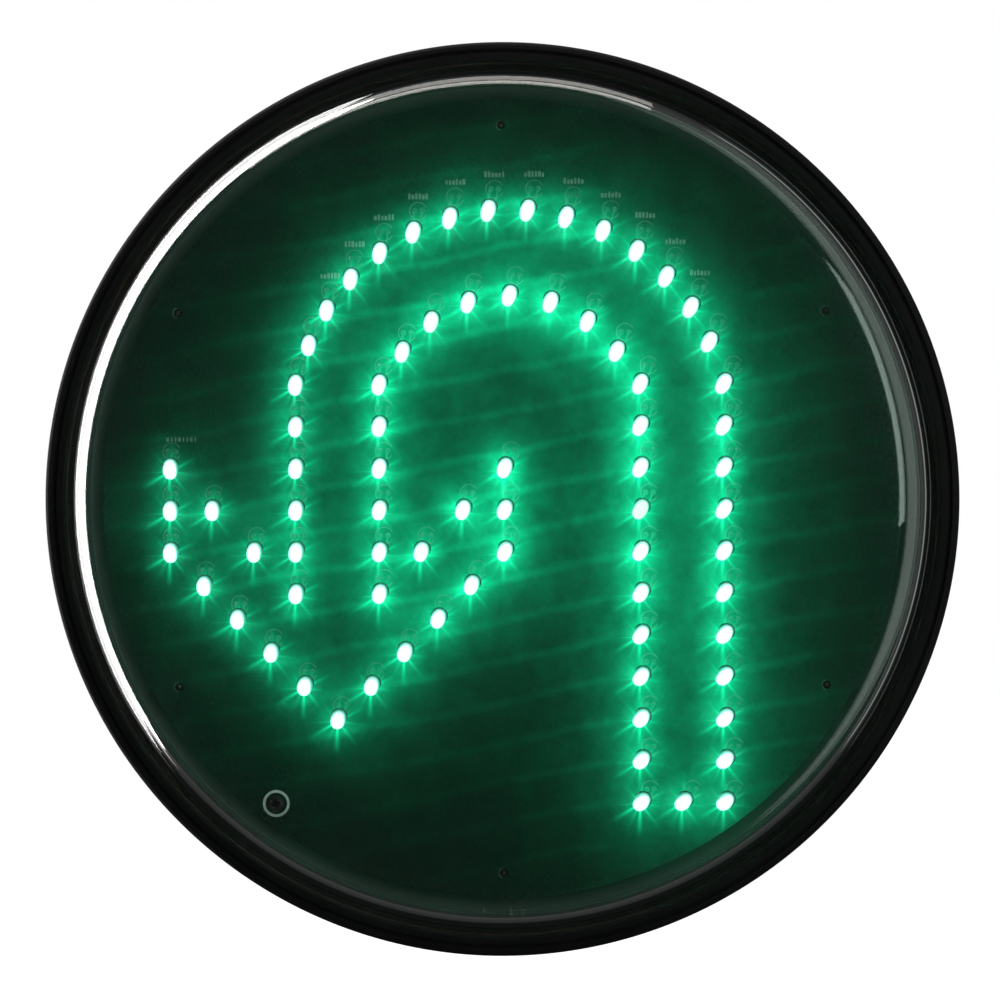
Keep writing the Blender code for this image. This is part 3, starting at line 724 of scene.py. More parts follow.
FEET = outline_points()
TIPS = np.array([[x + 0.87 * lean_of(x, y).x, y + 0.87 * lean_of(x, y).y] for x, y in FEET]) * 1.0165
rng = np.random.default_rng(75)
GAIN = 1 + 0.33 * TIPS[:, 0] / 100 - 0.08 * TIPS[:, 1] / 100 - 0.16 * (TIPS[:, 0] / 100) ** 2 - 0.46 * (TIPS[:, 1] / 100) ** 2
RAY_GAIN = np.clip(rng.normal(1.0, 0.14, len(FEET)), 0.7, 1.35)


def pool_at(points):
    """Brightness of the light that all the lamps together throw on points (x, y in mm) of the board."""
    found = np.zeros(len(points))
    for (x, y), gain in zip(TIPS, GAIN):
        d = np.hypot(points[:, 0] - x, points[:, 1] - y)
        found += 62.0 * gain / ((d * d + 5.0 ** 2) ** 1.36 * (1 + (d / 105.0) ** 4))
    # the bend of the U, lit from all round, is brighter than the lamps near it explain
    bend = np.hypot(points[:, 0] + 8.5, points[:, 1] - 65.0) / 54.0
    x, y = points[:, 0], points[:, 1]
    found *= (1 + 0.72 * np.exp(-bend ** 3) + 0.38 * np.exp(-((x - 20.0) / 24.0) ** 2 - ((y + 4.0) / 38.0) ** 2)
              - 0.20 * np.exp(-((x + 53.0) / 14.0) ** 2 - ((y - 9.0) / 34.0) ** 2))
    # the lamps lean to the lower left, so less of their light falls outside the top and left of the arrow
    out = np.hypot(x - 1.7, np.clip(y - 21.0, 0, None))
    found *= 1 - 0.27 * np.clip((out - 80.0) / 7.0, 0, 1) * np.clip(y / 21.0, 0, 1) * np.clip((75.0 - x) / 60.0, 0, 1)
    found *= 1 - 0.30 * np.clip((-x - 113.0) / 8.0, 0, 1)
    found *= 1 - 0.16 * np.clip((x - 72.0) / 4.0, 0, 1) * np.clip((100.0 - x) / 18.0, 0, 1)
    under = -(0.72 * (x + 80.0) + 0.69 * (y + 40.0))
    return found * (1 - 0.30 * np.clip((under - 10.0) / 12.0, 0, 1) * np.clip((-x - 20.0) / 20.0, 0, 1))


def add_pool(mesh):
    co = np.empty(len(mesh.vertices) * 3, np.float32)
    mesh.vertices.foreach_get("co", co)
    co = co.reshape(-1, 3) / MM
    values = pool_at(np.stack([co[:, 0], co[:, 2]], 1))
    attribute = mesh.attributes.new("glow", "FLOAT", "POINT")
    attribute.data.foreach_set("value", values.astype(np.float32))


# Lamps in four sets, so that no two of a set are near each other and each set's rays can be drawn on their own.
def four_sets():
    chosen = [-1] * len(TIPS)
    for i, a in enumerate(TIPS):
        room = [1e9] * 4
        for j in range(i):
            room[chosen[j]] = min(room[chosen[j]], float(np.hypot(*(a - TIPS[j]))))
        chosen[i] = max(range(4), key=lambda s: room[s])
    return chosen


LAMP_SET = four_sets()


def add_lamps(mesh):
    """Each face corner's offset from the nearest lamp of each set, the lamp's strength beside it."""
    n = len(mesh.polygons)
    centre = np.empty(n * 3, np.float32)
    mesh.polygons.foreach_get("center", centre)
    centre = centre.reshape(-1, 3) / MM
    centre = np.stack([centre[:, 0], centre[:, 2]], 1)
    totals = np.empty(n, np.int32)
    mesh.polygons.foreach_get("loop_total", totals)
    owner = np.repeat(np.arange(n), totals)
    index = np.empty(len(mesh.loops), np.int32)
    mesh.loops.foreach_get("vertex_index", index)
    co = np.empty(len(mesh.vertices) * 3, np.float32)
    mesh.vertices.foreach_get("co", co)
    corner = co.reshape(-1, 3)[index] / MM
    corner = np.stack([corner[:, 0], corner[:, 2]], 1)
    for s in range(4):
        mine = [i for i in range(len(TIPS)) if LAMP_SET[i] == s]
        tips = TIPS[mine]
        d = np.hypot(centre[:, None, 0] - tips[None, :, 0], centre[:, None, 1] - tips[None, :, 1])
        nearest = d.argmin(1)
        offset = corner - tips[nearest][owner]
        gain = RAY_GAIN[mine][nearest][owner] * (0.75 + 0.25 * GAIN[mine][nearest][owner])
        gain[d.min(1)[owner] > 17.0] = 0.0
        values = np.concatenate([offset, gain[:, None]], 1).astype(np.float32)
        attribute = mesh.attributes.new("lamp_%d" % s, "FLOAT_VECTOR", "CORNER")
        attribute.data.foreach_set("vector", values.ravel())


# ================================================================ LED board
rings = [2.0 * k for k in range(1, 66)] + [131.2]
profile = [(0.0, BOARD_Z)] + [(r, BOARD_Z) for r in rings] + fillet(
    [(131.2, BOARD_Z, 0), (BOARD_R, BOARD_Z, 0.2), (BOARD_R, BOARD_BACK, 0.2), (131.2, BOARD_BACK, 0)], closed=False, steps=3)[1:-1]
profile += [(r, BOARD_BACK) for r in (131.2, 90.0, 45.0)] + [(0.0, BOARD_BACK)]
board_mesh = lathe("board_disc", profile, 192, closed=False)
cuts = []
PINS = [polar(PIN_R, 30 + 60 * i) for i in range(6)]
for n, (x, y) in enumerate(PINS):
    v, f = slab(ngon(1.35, 28, (x, y)), BOARD_BACK - 1, BOARD_Z + 1)
    cuts.append(temp_object("pin_cut_%d" % n, v, f))
v, f = slab(ngon(1.8, 28, SCREW_AT), BOARD_BACK - 1, BOARD_Z + 1)
cuts.append(temp_object("screw_cut", v, f))
board_mesh = booleaned(board_mesh, [("DIFFERENCE", cuts)])
board_mesh.name = "led_board_disc"
add_pool(board_mesh)
add_lamps(board_mesh)
new_piece("led_board_disc", board_mesh, BOARD, ["led_board"], 30)

# Legend print: a ring at each lamp's foot and a short code bar outside it.
ink = Shells()
Z0, Z1 = BOARD_Z + 0.02, BOARD_Z + 0.06


def ring_shell(shells, at, r0, r1, z0, z1, segs=40, start=0.0, end=360.0):
    full = end - start >= 359.9
    count = segs if full else max(6, int(segs * (end - start) / 360)) + 1
    verts = []
    for k in range(count):
        a = math.radians(start + (end - start) * k / (segs if full else count - 1))
        c, s = math.cos(a), math.sin(a)
        verts += [(at[0] + r * c, at[1] + r * s, z) for r, z in ((r0, z0), (r1, z0), (r1, z1), (r0, z1))]
    faces = []
    for k in range(count if full else count - 1):
        a, b = 4 * k, 4 * ((k + 1) % count)
        faces += [[a + i, a + (i + 1) % 4, b + (i + 1) % 4, b + i] for i in range(4)]
    if not full:
        faces += [[3, 2, 1, 0], [4 * count - 4, 4 * count - 3, 4 * count - 2, 4 * count - 1]]
    shells.add(verts, faces)


def bar(shells, at, w, h, z0, z1, angle=0.0):
    shells.add(*slab(rounded_rect(w, h, min(w, h) * 0.3, at, 2, angle), z0, z1))


for n, (x, y) in enumerate(FEET):
    ring_shell(ink, (x, y), 2.78, 2.94, Z0, Z1, 40, 25.0, 335.0)
    if not 12 <= n <= 23:
        continue
    # a code of six short strokes over each lamp, that stands for its number
    for k in range(6):
        tall = 1.95 if ((n * 5 + 9) >> k) & 1 else 1.5
        bar(ink, (x - 2.9 + 1.15 * k, y + 4.4 + (tall - 1.0) / 2), 0.72 if (k + n) % 3 else 0.95, tall, Z0, Z1)
for x, y in PINS:
    ring_shell(ink, (x, y), 1.55, 1.75, Z0, Z1, 36, 100.0, 260.0)
for k in range(8):
    bar(ink, (-110.4 + 1.3 * k, 20.0), 0.5 if k % 3 else 0.85, 1.5, Z0, Z1)
ink_mesh = ink.mesh("legend_print")
outward(ink_mesh)
bm = bmesh.new()
bm.from_mesh(ink_mesh)
bmesh.ops.recalc_face_normals(bm, faces=bm.faces)
bm.to_mesh(ink_mesh)
bm.free()
add_pool(ink_mesh)
new_piece("legend_print", ink_mesh, INK, (), 40)


# ================================================================ LED strings
def led_profile():
    """(radius, height) down a 5 mm lamp from its tip, foot of the board at 0."""
    base, top, r = LED_REACH - LED_LEN, LED_REACH, LED_R - 0.03
    points = [(r * math.sin(math.radians(a)), top - r + r * math.cos(math.radians(a))) for a in range(0, 91, 6)]
    points += [(r + 0.004 * k, top - r - k * 0.38) for k in range(1, 11)]
    points += [(r + 0.05, base + 1.15), (2.62, base + 1.05), (2.80, base + 0.9), (2.80, base + 0.15), (2.66, base), (0.0, base)]
    return points


LAMP = led_profile()
LAMP_SEGS = 36


def lead_shell(side):
    """One lead: a square wire from the lamp's underside, set out by a small step, down to its solder."""
    w = 0.25
    x0, x1 = side * 1.27, side * 1.27
    path = [(x0, LED_REACH - LED_LEN + 0.05), (x0, 8.2), (x0 + side * 0.25, 7.4), (x0 + side * 0.25, 5.6), (x1, 4.6), (x1, 0.16)]
    verts, faces = [], []
    for x, z in path:
        verts += [(x - w, -w, z), (x + w, -w, z), (x + w, w, z), (x - w, w, z)]
    for k in range(len(path) - 1):
        a, b = 4 * k, 4 * k + 4
        faces += [[a + i, a + (i + 1) % 4, b + (i + 1) % 4, b + i] for i in range(4)]
    faces += [[3, 2, 1, 0], [4 * len(path) - 4 + i for i in range(4)]]
    return verts, faces


solder_profile = [(0.0, 1.25), (0.35, 1.05), (0.45, 0.6), (0.8, 0.25), (1.0, 0.08), (0.0, 0.08)]
LEADS = [lead_shell(-1), lead_shell(1)]
SOLDER = lathe_arrays(solder_profile, 14, closed=False)

WHITE = np.array([1.35, 6.4, 3.9])
RIM = np.array([0.10, 0.95, 0.66])
PALE = np.array([0.50, 1.02, 0.92])
CYAN = np.array([0.42, 1.05, 0.98])
GLINT_LILAC = np.array([0.86, 0.84, 1.02])
DARK = np.array([0.0, 0.006, 0.004])


def step01(x, a, b):
    t = np.clip((x - a) / (b - a), 0, 1)
    return t * t * (3 - 2 * t)


def lit_colours(index, x, y):
    """The glow of each point of one lamp, from its place on the lamp: white in the middle of the part that faces
    out of the lens, a green-cyan edge, and no light at the collar."""
    lean = lean_of(x, y)
    down = Vector((lean.x, lean.y)).normalized()
    matrix = led_frame(x, y)
    rows = []
    for r, h in LAMP:
        count = 1 if r < 1e-6 else LAMP_SEGS
        for k in range(count):
            a = 2 * math.pi * k / LAMP_SEGS
            p = matrix @ Vector((r * math.cos(a), r * math.sin(a), h))
            rows.append((p.x, p.y, p.z, h))
    p = np.array(rows)
    length = math.hypot(lean.x, lean.y)
    cx, cy = x + 0.735 * lean.x + 0.55 * down.x, y + 0.735 * lean.y + 0.55 * down.y
    u = (p[:, 0] - cx) * down.x + (p[:, 1] - cy) * down.y
    v = (p[:, 0] - cx) * -down.y + (p[:, 1] - cy) * down.x
    h = p[:, 3] - (LED_REACH - LED_LEN)
    half = 0.145 * length + 2.26
    e = np.sqrt((u / half) ** 2 + (v / 2.22) ** 2)
    lit = step01(h, 0.7, 1.35)
    green = (1 - step01(e, 1.04, 1.30)) * lit
    pale = (1 - step01(e, 0.93, 1.12)) * lit
    white = (1 - step01(e, 0.78, 0.97)) * step01(h, 1.2, 2.1)
    colour = DARK[None] + RIM[None] * 0.62 * green[:, None]
    colour = colour * (1 - pale[:, None]) + PALE[None] * pale[:, None]
    colour = colour * (1 - white[:, None]) + WHITE[None] * white[:, None]
    # painted glint: a lilac highlight near the collar end of the lit part, weaker on every third lamp
    painted_glint = np.exp(-((u + half - 0.75) / 0.55) ** 2 - (v / 1.1) ** 2) * lit * (0.75 if index % 3 else 0.35)
    colour = colour * (1 - painted_glint[:, None]) + GLINT_LILAC[None] * painted_glint[:, None]
    return colour


DIM = min(range(len(FEET)), key=lambda i: (TIPS[i][0] - 44.2) ** 2 + (TIPS[i][1] + 3.4) ** 2)
lamp_verts, lamp_faces = lathe_arrays(LAMP, LAMP_SEGS, closed=False)
TRACK_Z = BOARD_Z + 0.3
for s in range(15):
    name = "led_string_%02d" % (s + 1)
    lamps, wires = Shells(), Shells()
    colours = []
    for n in range(s * 5, s * 5 + 5):
        x, y = FEET[n]
        matrix = led_frame(x, y)
        lamps.add(lamp_verts, lamp_faces, matrix)
        found = lit_colours(n, x, y)
        if n == DIM:
            found = np.minimum(found, 1.0) * np.array([0.93, 1.1, 1.02])
        colours.append(found)
        for lead in LEADS:
            wires.add(*lead, matrix)
        for side in (-1, 1):
            foot = matrix @ Vector((side * 1.27, 0, 0))
            wires.add(SOLDER[0], SOLDER[1], Matrix.Translation((foot.x, foot.y, BOARD_Z)))
    mesh = lamps.mesh(name + "_lamps")
    colours = np.concatenate(colours)
    attribute = mesh.attributes.new("lit", "FLOAT_COLOR", "POINT")
    attribute.data.foreach_set("color", np.concatenate([colours, np.ones((len(colours), 1))], 1).astype(np.float32).ravel())
    bm = bmesh.new()
    bm.from_mesh(mesh)
    bmesh.ops.recalc_face_normals(bm, faces=bm.faces)
    bm.to_mesh(mesh)
    bm.free()
    new_piece(name + "_lamps", mesh, LED, [name], 50)
    mesh = wires.mesh(name + "_leads")
    bm = bmesh.new()
    bm.from_mesh(mesh)
    bmesh.ops.recalc_face_normals(bm, faces=bm.faces)
    bm.to_mesh(mesh)
    bm.free()
    add_pool(mesh)
    new_piece(name + "_leads", mesh, TIN, (), 50)


# ================================================================ screws
def cross_screw(name, at, up, head_r, head_h, shank_r, length, mat, node):
    """Pan-head screw with a cross recess, thread ridges on the shank, up is +1 with its head to the front."""
    head = [(0.0, head_h), (head_r * 0.55, head_h * 0.985), (head_r * 0.8, head_h * 0.86), (head_r * 0.95, head_h * 0.55),
            (head_r, head_h * 0.2), (head_r, 0.12), (head_r - 0.12, 0.0), (shank_r * 0.99, 0.0)]
    pitch = max(shank_r * 0.42, 0.45)
    count = int((length - 1.2) / pitch)
    shank = []
    for k in range(count):
        z = -0.3 - k * pitch
        shank += [(shank_r * 0.84, z), (shank_r * 0.995, z - pitch * 0.5)]
    shank += [(shank_r * 0.8, -length + 0.8), (shank_r * 0.3, -length + 0.1), (0.0, -length)]
    verts, faces = lathe_arrays(head + shank, 48, closed=False)
    body = temp_object(name + "_body", verts, faces)
    mesh = body.data
    bpy.data.objects.remove(body, do_unlink=True)
    cut = []
    depth = head_h * 0.72
    for turn in (0.35, 0.35 + math.pi / 2):
        outline = rounded_rect(head_r * 1.12, head_r * 0.26, head_r * 0.05, (0, 0), 2, turn)
        top = [(x, y, head_h + 0.5) for x, y in outline]
        low = [(x * 0.55, y * 0.55, head_h - depth) for x, y in outline]
        n = len(outline)
        v = low + top
        f = [list(range(n))[::-1], list(range(n, 2 * n))] + [[i, (i + 1) % n, n + (i + 1) % n, n + i] for i in range(n)]
        cut.append(temp_object(name + "_cut%.2f" % turn, v, f))
    mesh = booleaned(mesh, [("DIFFERENCE", cut)])
    flip = Matrix.Identity(4) if up > 0 else Matrix.Rotation(math.pi, 4, "X")
    place = Matrix.Translation(Vector((at[0], at[1], at[2]))) @ flip
    mesh.transform(Matrix.Diagonal((MM, MM, MM, 1)) @ TURN @ place @ TURN.inverted() @ Matrix.Diagonal((1 / MM, 1 / MM, 1 / MM, 1)))
    mesh.name = name
    return new_piece(name, mesh, mat, [node], 32)


cross_screw("board_screw_m3", (*SCREW_AT, BOARD_Z + 0.3), 1, 2.75, 2.0, 1.3, 9.0, BLACK_STEEL, "board_screw")
ring = Shells()
ring_shell(ring, SCREW_AT, 3.55, 4.42, BOARD_Z + 0.02, BOARD_Z + 0.14, 72)
ring_shell(ring, SCREW_AT, 1.95, 2.55, BOARD_Z + 0.02, BOARD_Z + 0.10, 56)
mesh = ring.mesh("screw_pad")
bm = bmesh.new()
bm.from_mesh(mesh)
bmesh.ops.recalc_face_normals(bm, faces=bm.faces)
bm.to_mesh(mesh)
bm.free()
new_piece("screw_pad", mesh, PAD, (), 40)

# ================================================================ rear housing
INNER = ((139.5, -13.5), (99.5, -35.0))


def floor_z(r):
    (r0, z0), (r1, z1) = INNER
    return z1 if r < r1 else z0 + (z1 - z0) * (r0 - r) / (r0 - r1)


housing = lathe("housing_work", fillet([
    (139.5, -6.45, 0.3), (142.9, -6.45, 0.2), (142.9, -8.3, 0.3), (145.9, -8.3, 0.3), (145.9, -6.45, 0.2), (147.0, -6.45, 0.3),
    (147.0, -9.6, 0.3), (142.5, -9.6, 0.2), (142.5, -15.0, 1.6), (102.0, BACK_Z, 3.0), (54.0, BACK_Z, 0.4), (54.0, -35.0, 0.4),
    (INNER[1][0], INNER[1][1], 1.5), (INNER[0][0], INNER[0][1], 1.0)], steps=4), 192)
grow = []


def post(name, r, z0, z1, x, y, sides=28):
    v, f = slab(ngon(r, sides, (x, y)), z0, z1)
    grow.append(temp_object(name, v, f))


for n, (x, y) in enumerate(PINS):
    base = floor_z(PIN_R) - 1.8
    post("post_%d" % n, 2.8, base, BOARD_BACK - 0.3, x, y)
screw_r = math.hypot(*SCREW_AT)
post("screw_post", 3.0, floor_z(screw_r) - 1.8, BOARD_BACK - 0.3, *SCREW_AT)
for n in range(4):
    x, y = polar(66.5, 45 + 90 * n)
    post("boss_%d" % n, 5.0, -36.5, -26.5, x, y)
slope = math.atan2(23.0, 40.5)
for n in range(12):
    angle = 15 + 30 * n
    r, z = 121.5 + 4.0 * math.sin(slope), -26.1 - 4.0 * math.cos(slope)
    x, y = polar(r, angle)
    v, f = slab(rounded_rect(32.8, 2.2, 0.7, steps=3), 0.0, 5.6)
    v, f = bevelled(v, f, 0.45, 3, 60)
    matrix = (Matrix.Translation(Vector((x, y, z))) @ Matrix.Rotation(math.radians(angle), 4, "Z")
              @ Matrix.Rotation(-slope, 4, "Y"))
    grow.append(temp_object("rib_%d" % n, [tuple(matrix @ Vector(p)) for p in v], f))
arrow = [(-2.0, 78.0), (-2.0, 87.0), (-6.0, 87.0), (0.0, 95.0), (6.0, 87.0), (2.0, 87.0), (2.0, 78.0)]
v, f = slab(arrow, BACK_Z - 0.95, BACK_Z + 1.0)
grow.append(temp_object("arrow", *bevelled(v, f, 0.25, 2, 50)))
cuts = []
for name, r, z0, z1, x, y in (
        [("cable_hole", 8.1, -42.0, -30.0, *GLAND_AT), ("screw_hole", 1.6, BOARD_BACK - 8.0, BOARD_BACK + 1.0, *SCREW_AT)]
        + [("boss_hole_%d" % n, 2.1, -39.0, -28.3, *polar(66.5, 45 + 90 * n)) for n in range(4)]):
    v, f = slab(ngon(r, 32, (x, y)), z0, z1)
    cuts.append(temp_object(name, v, f))
housing = booleaned(housing, [("UNION", grow), ("DIFFERENCE", cuts)])
housing.name = "rear_housing_shell"
co = np.empty(len(housing.vertices) * 3, np.float32)
housing.vertices.foreach_get("co", co)
co = co.reshape(-1, 3) / MM
radius = np.hypot(co[:, 0], co[:, 2])
inside = (radius > 131.0) & (radius < 139.7) & (-co[:, 1] > -18.5) & (-co[:, 1] > -14.2 - (radius - 139.5) * -0.54)
lit = np.where(inside, 0.55 * pool_at(np.stack([co[:, 0], co[:, 2]], 1)) + 0.010, 0.0)
housing.attributes.new("glow", "FLOAT", "POINT").data.foreach_set("value", lit.astype(np.float32))
new_piece("rear_housing_shell", housing, HOUSING, ["rear_housing"], 28)

# The six locating pins' tips, domed, in their holes.
pins = Shells()
for x, y in PINS:
    pins.add(*lathe_arrays([(0.0, BOARD_BACK + 2.58), (0.55, BOARD_BACK + 2.5), (0.86, BOARD_BACK + 2.2), (0.98, BOARD_BACK + 1.8),
                            (0.98, BOARD_BACK - 0.28), (0.0, BOARD_BACK - 0.28)], 24, closed=False, at=(x, y, 0)))
mesh = pins.mesh("housing_pins")
bm = bmesh.new()
bm.from_mesh(mesh)
bmesh.ops.recalc_face_normals(bm, faces=bm.faces)
bm.to_mesh(mesh)
bm.free()
new_piece("housing_pins", mesh, BLACK_PC, ["rear_housing"], 40)

# ================================================================ rear cover, seals and screws
floor = COVER_END_Z + 3.0
cover = lathe("cover_work", fillet([
    (0, floor, 0), (52.4, floor, 1.6), (54.3, -38.3, 0.3), (56.7, -38.3, 0.2), (56.7, -39.8, 0.3), (61.3, -39.8, 0.3),
    (61.3, -38.3, 0.2), (COVER_R, -38.3, 0.4), (COVER_R, -41.3, 0.9), (58.2, -41.3, 1.2), (55.6, COVER_END_Z, 2.2),
    (44.0, COVER_END_Z, 0.3), (43.4, COVER_END_Z + 0.5, 0.3), (41.0, COVER_END_Z + 0.5, 0.3), (40.4, COVER_END_Z, 0.3), (0, COVER_END_Z, 0)],
    closed=False, steps=4), 160, closed=False)
grow, cuts = [], []
for n, (sx, sy) in enumerate(((1, 1), (-1, 1), (-1, -1), (1, -1))):
    post("standoff_%d" % n, 3.0, floor - 1.0, -50.9, 34.0 * sx, 25.0 * sy)
for n in range(4):
    x, y = polar(66.5, 45 + 90 * n)
    v, f = slab(ngon(2.3, 32, (x, y)), -43.0, -37.0)
    cuts.append(temp_object("cover_hole_%d" % n, v, f))
for n, (sx, sy) in enumerate(((1, 1), (-1, 1), (-1, -1), (1, -1))):
    v, f = slab(ngon(1.5, 24, (34.0 * sx, 25.0 * sy)), floor + 0.4, floor + 5.4)
    cuts.append(temp_object("standoff_hole_%d" % n, v, f))
cover = booleaned(cover, [("UNION", grow), ("DIFFERENCE", cuts)])
cover.name = "rear_cover_shell"
new_piece("rear_cover_shell", cover, BLACK_PC, ["rear_cover"], 28)
new_piece("cover_seal_ring", lathe("cover_seal_ring", fillet(
    [(57.0, -38.3), (61.0, -38.3), (61.0, -39.5), (57.0, -39.5)], 0.45), 160), SILICONE, ["cover_seal"], 60)
for n in range(4):
    x, y = polar(66.5, 45 + 90 * n)
    cross_screw("cover_screw_m4_%d" % (n + 1), (x, y, -41.6), -1, 3.5, 2.4, 1.75, 11.5, STEEL, "cover_screw_%d" % (n + 1))
for n, (sx, sy) in enumerate(((1, 1), (-1, 1), (-1, -1), (1, -1))):
    cross_screw("driver_screw_m3_%d" % (n + 1), (34.0 * sx, 25.0 * sy, -48.7), 1, 2.75, 2.0, 1.2, 5.2, STEEL,
                "driver_screw_%d" % (n + 1))

# ================================================================ cable gland
gx, gy = GLAND_AT
body = [(4.4, -28.5, 0.2), (7.7, -28.5, 0.4)]
z = -29.4
while z > -39.0:
    body += [(7.7, z, 0.05), (7.2, z - 0.5, 0.05), (7.7, z - 1.0, 0.05)]
    z -= 1.25
body += [(7.7, -51.4, 0.3), (4.4, -51.4, 0.2)]
gland = lathe("gland_work", fillet(body, steps=2), 64, at=(gx, gy, 0))
v, f = slab(ngon(10.55, 6, (gx, gy)), BACK_Z - 6.05, BACK_Z - 2.15)
grow = [temp_object("gland_hex", *bevelled(v, f, 0.5, 3, 20))]
v, f = slab(ngon(4.4, 48, (gx, gy)), -60.0, -26.0)
gland = booleaned(gland, [("UNION", grow), ("DIFFERENCE", [temp_object("gland_bore", v, f)])])
gland.name = "gland_body_part"
new_piece("gland_body_part", gland, NYLON, ["gland_body"], 30)
new_piece("gland_washer_ring", lathe("gland_washer_ring", fillet(
    [(8.0, -38.3), (10.2, -38.3), (10.2, -39.8), (8.0, -39.8)], 0.4), 64, at=(gx, gy, 0)), GLAND_RUBBER, ["gland_washer"], 60)
v, f = slab(ngon(11.15, 6, (gx, gy)), -34.65, -31.15)
nut = temp_object("nut_work", *bevelled(v, f, 0.5, 3, 20))
nut_mesh = nut.data
bpy.data.objects.remove(nut, do_unlink=True)
v, f = slab(ngon(8.0, 48, (gx, gy)), -37.0, -29.0)
nut_mesh = booleaned(nut_mesh, [("DIFFERENCE", [temp_object("nut_bore", v, f)])])
nut_mesh.name = "gland_locknut_part"
new_piece("gland_locknut_part", nut_mesh, NYLON, ["gland_locknut"], 30)
cap = lathe("cap_work", fillet([
    (8.0, -44.4, 0.2), (10.0, -44.4, 0.5), (10.0, -53.0, 1.2), (8.2, -57.6, 0.8), (5.0, -57.6, 0.4), (5.0, -56.0, 0.2), (8.0, -55.6, 0.3)],
    steps=4), 72, at=(gx, gy, 0))
grow = []
for k in range(18):
    a = 2 * math.pi * k / 18
    v, f = slab(rounded_rect(1.3, 0.9, 0.3, (gx + 9.7 * math.cos(a), gy + 9.7 * math.sin(a)), 2, a), -52.6, -44.9)
    grow.append(temp_object("grip_%d" % k, *bevelled(v, f, 0.2, 2, 60)))
cap = booleaned(cap, [("UNION", grow)])
cap.name = "gland_cap_part"
new_piece("gland_cap_part", cap, NYLON, ["gland_cap"], 30)
new_piece("gland_seal_ring", lathe("gland_seal_ring", fillet(
    [(4.2, -51.7), (7.6, -51.7), (7.6, -55.3), (4.2, -55.3)], 0.7), 64, at=(gx, gy, 0)), GLAND_RUBBER, ["gland_seal"], 60)

# ================================================================ driver parts: the CAD solids with finished materials
inner = {
    "driver_board": plastic("green_mask", (0.010, 0.13, 0.045), 0.28, 900.0, 0.00003, 0.2, 90.0),
    "input_terminal": plastic("terminal_green", (0.02, 0.24, 0.09), 0.42),
    "fuse": plastic("fuse_body", (0.62, 0.66, 0.68), 0.15, 700.0, 0.00001),
    "varistor": plastic("varistor_blue", (0.015, 0.10, 0.42), 0.35, 500.0, 0.00008),
    "x_capacitor": plastic("film_yellow", (0.62, 0.42, 0.04), 0.38),
    "line_choke": metal("enamelled_copper", (0.62, 0.22, 0.07), 0.3, 2600.0, 0.2, (1, 0.05, 1)),
    "bridge_rectifier": plastic("epoxy_black", (0.018, 0.018, 0.019), 0.5),
    "bulk_capacitor": plastic("can_sleeve", (0.012, 0.018, 0.05), 0.32, 400.0, 0.00002),
    "transformer_core": plastic("ferrite", (0.045, 0.044, 0.046), 0.6, 1200.0, 0.0001),
    "transformer_winding": plastic("winding_tape", (0.72, 0.48, 0.05), 0.36, 300.0, 0.00006),
    "heatsink": metal("anodised_aluminium", (0.62, 0.63, 0.65), 0.35, 1500.0),
    "switching_transistor": plastic("epoxy_black_2", (0.020, 0.020, 0.021), 0.46),
    "output_capacitor": plastic("can_sleeve_2", (0.014, 0.020, 0.055), 0.32, 400.0, 0.00002),
    "output_connector": plastic("white_nylon", (0.74, 0.73, 0.68), 0.42),
    "led_connector": plastic("white_nylon_2", (0.74, 0.73, 0.68), 0.42),
    "link_wire_red": plastic("wire_red", (0.50, 0.02, 0.02), 0.42, 900.0, 0.00002),
    "link_wire_black": plastic("wire_black", (0.018, 0.018, 0.018), 0.42, 900.0, 0.00002),
}
for node, mat in inner.items():
    NODES[node].data.materials.clear()
    NODES[node].data.materials.append(mat)
    smooth(NODES[node], 32)

# ================================================================ stage, light and camera
floor_mesh = mesh_from("floor", [(-6, -6, -0.42), (6, -6, -0.42), (6, 6, -0.42), (-6, 6, -0.42)], [[0, 1, 2, 3]])
t = Tree("pale_floor")
t.set(Base_Color=t.mix(t.noise(3.0, 3.0, 0.5), (0.90, 0.90, 0.90), (0.93, 0.93, 0.93)), Roughness=0.7,
      Emission_Color=(1.0, 1.0, 1.0), Emission_Strength=1.0)
floor_obj = bpy.data.objects.new("floor", floor_mesh)
bpy.context.scene.collection.objects.link(floor_obj)
floor_mesh.materials.append(t.mat)
floor_obj.visible_diffuse = False
floor_obj.visible_glossy = False
floor_obj.visible_transmission = False

scene = bpy.context.scene
scene.view_settings.view_transform = "Standard"
scene.view_settings.look = "None"
sky = bpy.data.worlds.new("studio")
scene.world = sky
sky.use_nodes = True
nt = sky.node_tree
nt.nodes.clear()
out = nt.nodes.new("ShaderNodeOutputWorld")
seen, rest, mix, path = (nt.nodes.new(k) for k in ("ShaderNodeBackground", "ShaderNodeBackground", "ShaderNodeMixShader", "ShaderNodeLightPath"))
seen.inputs["Color"].default_value = (1, 1, 1, 1)
# A dim room: dark straight ahead of the lens, pale to the sides, dark again behind the lamp.
place = nt.nodes.new("ShaderNodeTexCoord")
axes = nt.nodes.new("ShaderNodeSeparateXYZ")
ahead = nt.nodes.new("ShaderNodeMath")
room = nt.nodes.new("ShaderNodeValToRGB")
nt.links.new(place.outputs["Generated"], axes.inputs[0])
ahead.operation = "MULTIPLY_ADD"
ahead.inputs[1].default_value, ahead.inputs[2].default_value = -0.5, 0.5
nt.links.new(axes.outputs["Y"], ahead.inputs[0])
nt.links.new(ahead.outputs[0], room.inputs[0])
STOPS = ((0.0, 0.02), (0.20, 0.03), (0.38, 0.05), (0.60, 0.065), (0.86, 0.08), (0.95, 0.06), (0.982, 0.015), (1.0, 0.012))
bands = room.color_ramp.elements
while len(bands) < len(STOPS):
    bands.new(0.5)
for band, (at, level) in zip(bands, STOPS):
    band.position, band.color = at, (level * 0.97, level * 1.0, level * 0.98, 1.0)
nt.links.new(room.outputs[0], rest.inputs["Color"])
rest.inputs["Strength"].default_value = 1.0
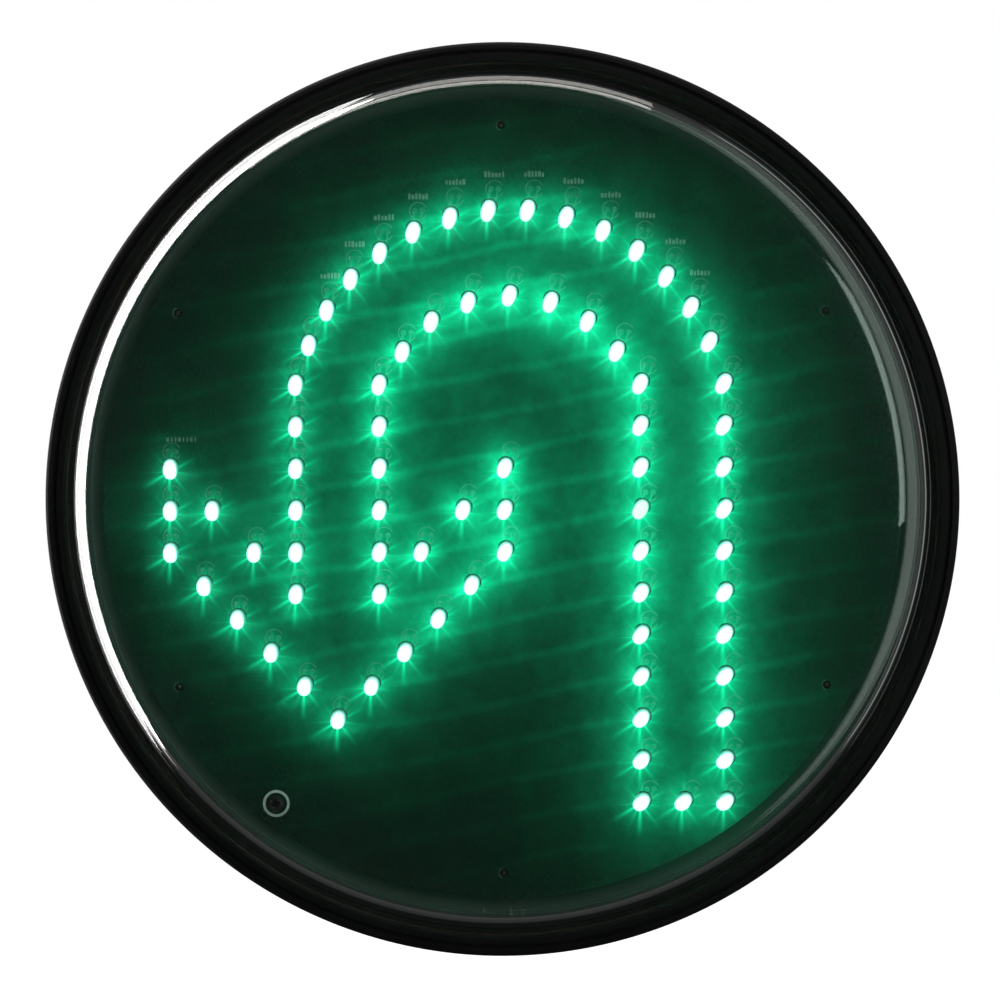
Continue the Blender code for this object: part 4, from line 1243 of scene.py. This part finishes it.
nt.links.new(path.outputs["Is Camera Ray"], mix.inputs[0])
nt.links.new(rest.outputs[0], mix.inputs[1])
nt.links.new(seen.outputs[0], mix.inputs[2])
nt.links.new(mix.outputs[0], out.inputs["Surface"])


def softbox(name, off_axis, azimuth, distance, width, height, power, colour=(1, 1, 1), spread=180):
    """A rectangular lamp aimed at the lens. off_axis is its angle from the way the lens faces, and azimuth is where
    it stands round the lens, from the right and up. width runs round the lens, and height along its axis."""
    a, b = math.radians(azimuth), math.radians(off_axis)
    direction = Vector((math.sin(b) * math.cos(a), -math.cos(b), math.sin(b) * math.sin(a)))
    data = bpy.data.lights.new(name, "AREA")
    data.shape, data.size, data.size_y = "RECTANGLE", width, height
    data.energy, data.color, data.spread = power, colour, math.radians(spread)
    lamp = bpy.data.objects.new(name, data)
    round_lens = Vector((-math.sin(a), 0, math.cos(a)))
    back = direction
    up = back.cross(round_lens).normalized()
    rotation = Matrix((round_lens, up, back)).transposed()
    lamp.matrix_world = Matrix.Translation(direction * distance) @ rotation.to_4x4()
    scene.collection.objects.link(lamp)
    return lamp


softbox("key_left", 106, 162, 0.9, 2.2, 0.60, 36)
softbox("key_top", 87, 98, 0.9, 1.0, 0.30, 3.4, (1.0, 0.96, 0.91))
softbox("edge_left", 131, 168, 0.9, 1.6, 0.16, 0.5, (1.0, 0.93, 0.90))
softbox("edge_right", 131, 12, 0.9, 1.5, 0.12, 0.14, (0.90, 1.0, 0.94))


def panel(name, x0, x1, z0, z1, distance, radiance, colour=(1, 1, 1)):
    """An upright diffuser in front of the lens and beside the camera, square to the lens's axis."""
    data = bpy.data.lights.new(name, "AREA")
    data.shape, data.size, data.size_y = "RECTANGLE", x1 - x0, z1 - z0
    data.energy, data.color = radiance * math.pi * (x1 - x0) * (z1 - z0), colour
    lamp = bpy.data.objects.new(name, data)
    lamp.matrix_world = Matrix.Translation(Vector(((x0 + x1) / 2, -distance, (z0 + z1) / 2))) @ Matrix.Rotation(math.pi / 2, 4, "X")
    scene.collection.objects.link(lamp)
    return lamp


panel("side_panel", 0.62, 2.7, -0.85, 2.8, 1.0, 0.85, (0.88, 1.0, 0.93))
panel("small_strip", 0.40, 0.52, -0.03, 0.30, 1.0, 2.1, (0.80, 1.0, 0.92))

cam_data = bpy.data.cameras.new("camera")
cam_data.sensor_width = 36.0
cam_data.lens = 36.0 * 1105.0 / 329.0
cam_data.clip_start, cam_data.clip_end = 0.05, 50.0
camera = bpy.data.objects.new("camera", cam_data)
camera.matrix_world = (Matrix.Translation(Vector((-0.00082, -1.10, -0.00033)))
                       @ Matrix.Rotation(math.pi / 2, 4, "X") @ Matrix.Rotation(math.radians(-0.21), 4, "Z"))
scene.collection.objects.link(camera)
scene.camera = camera
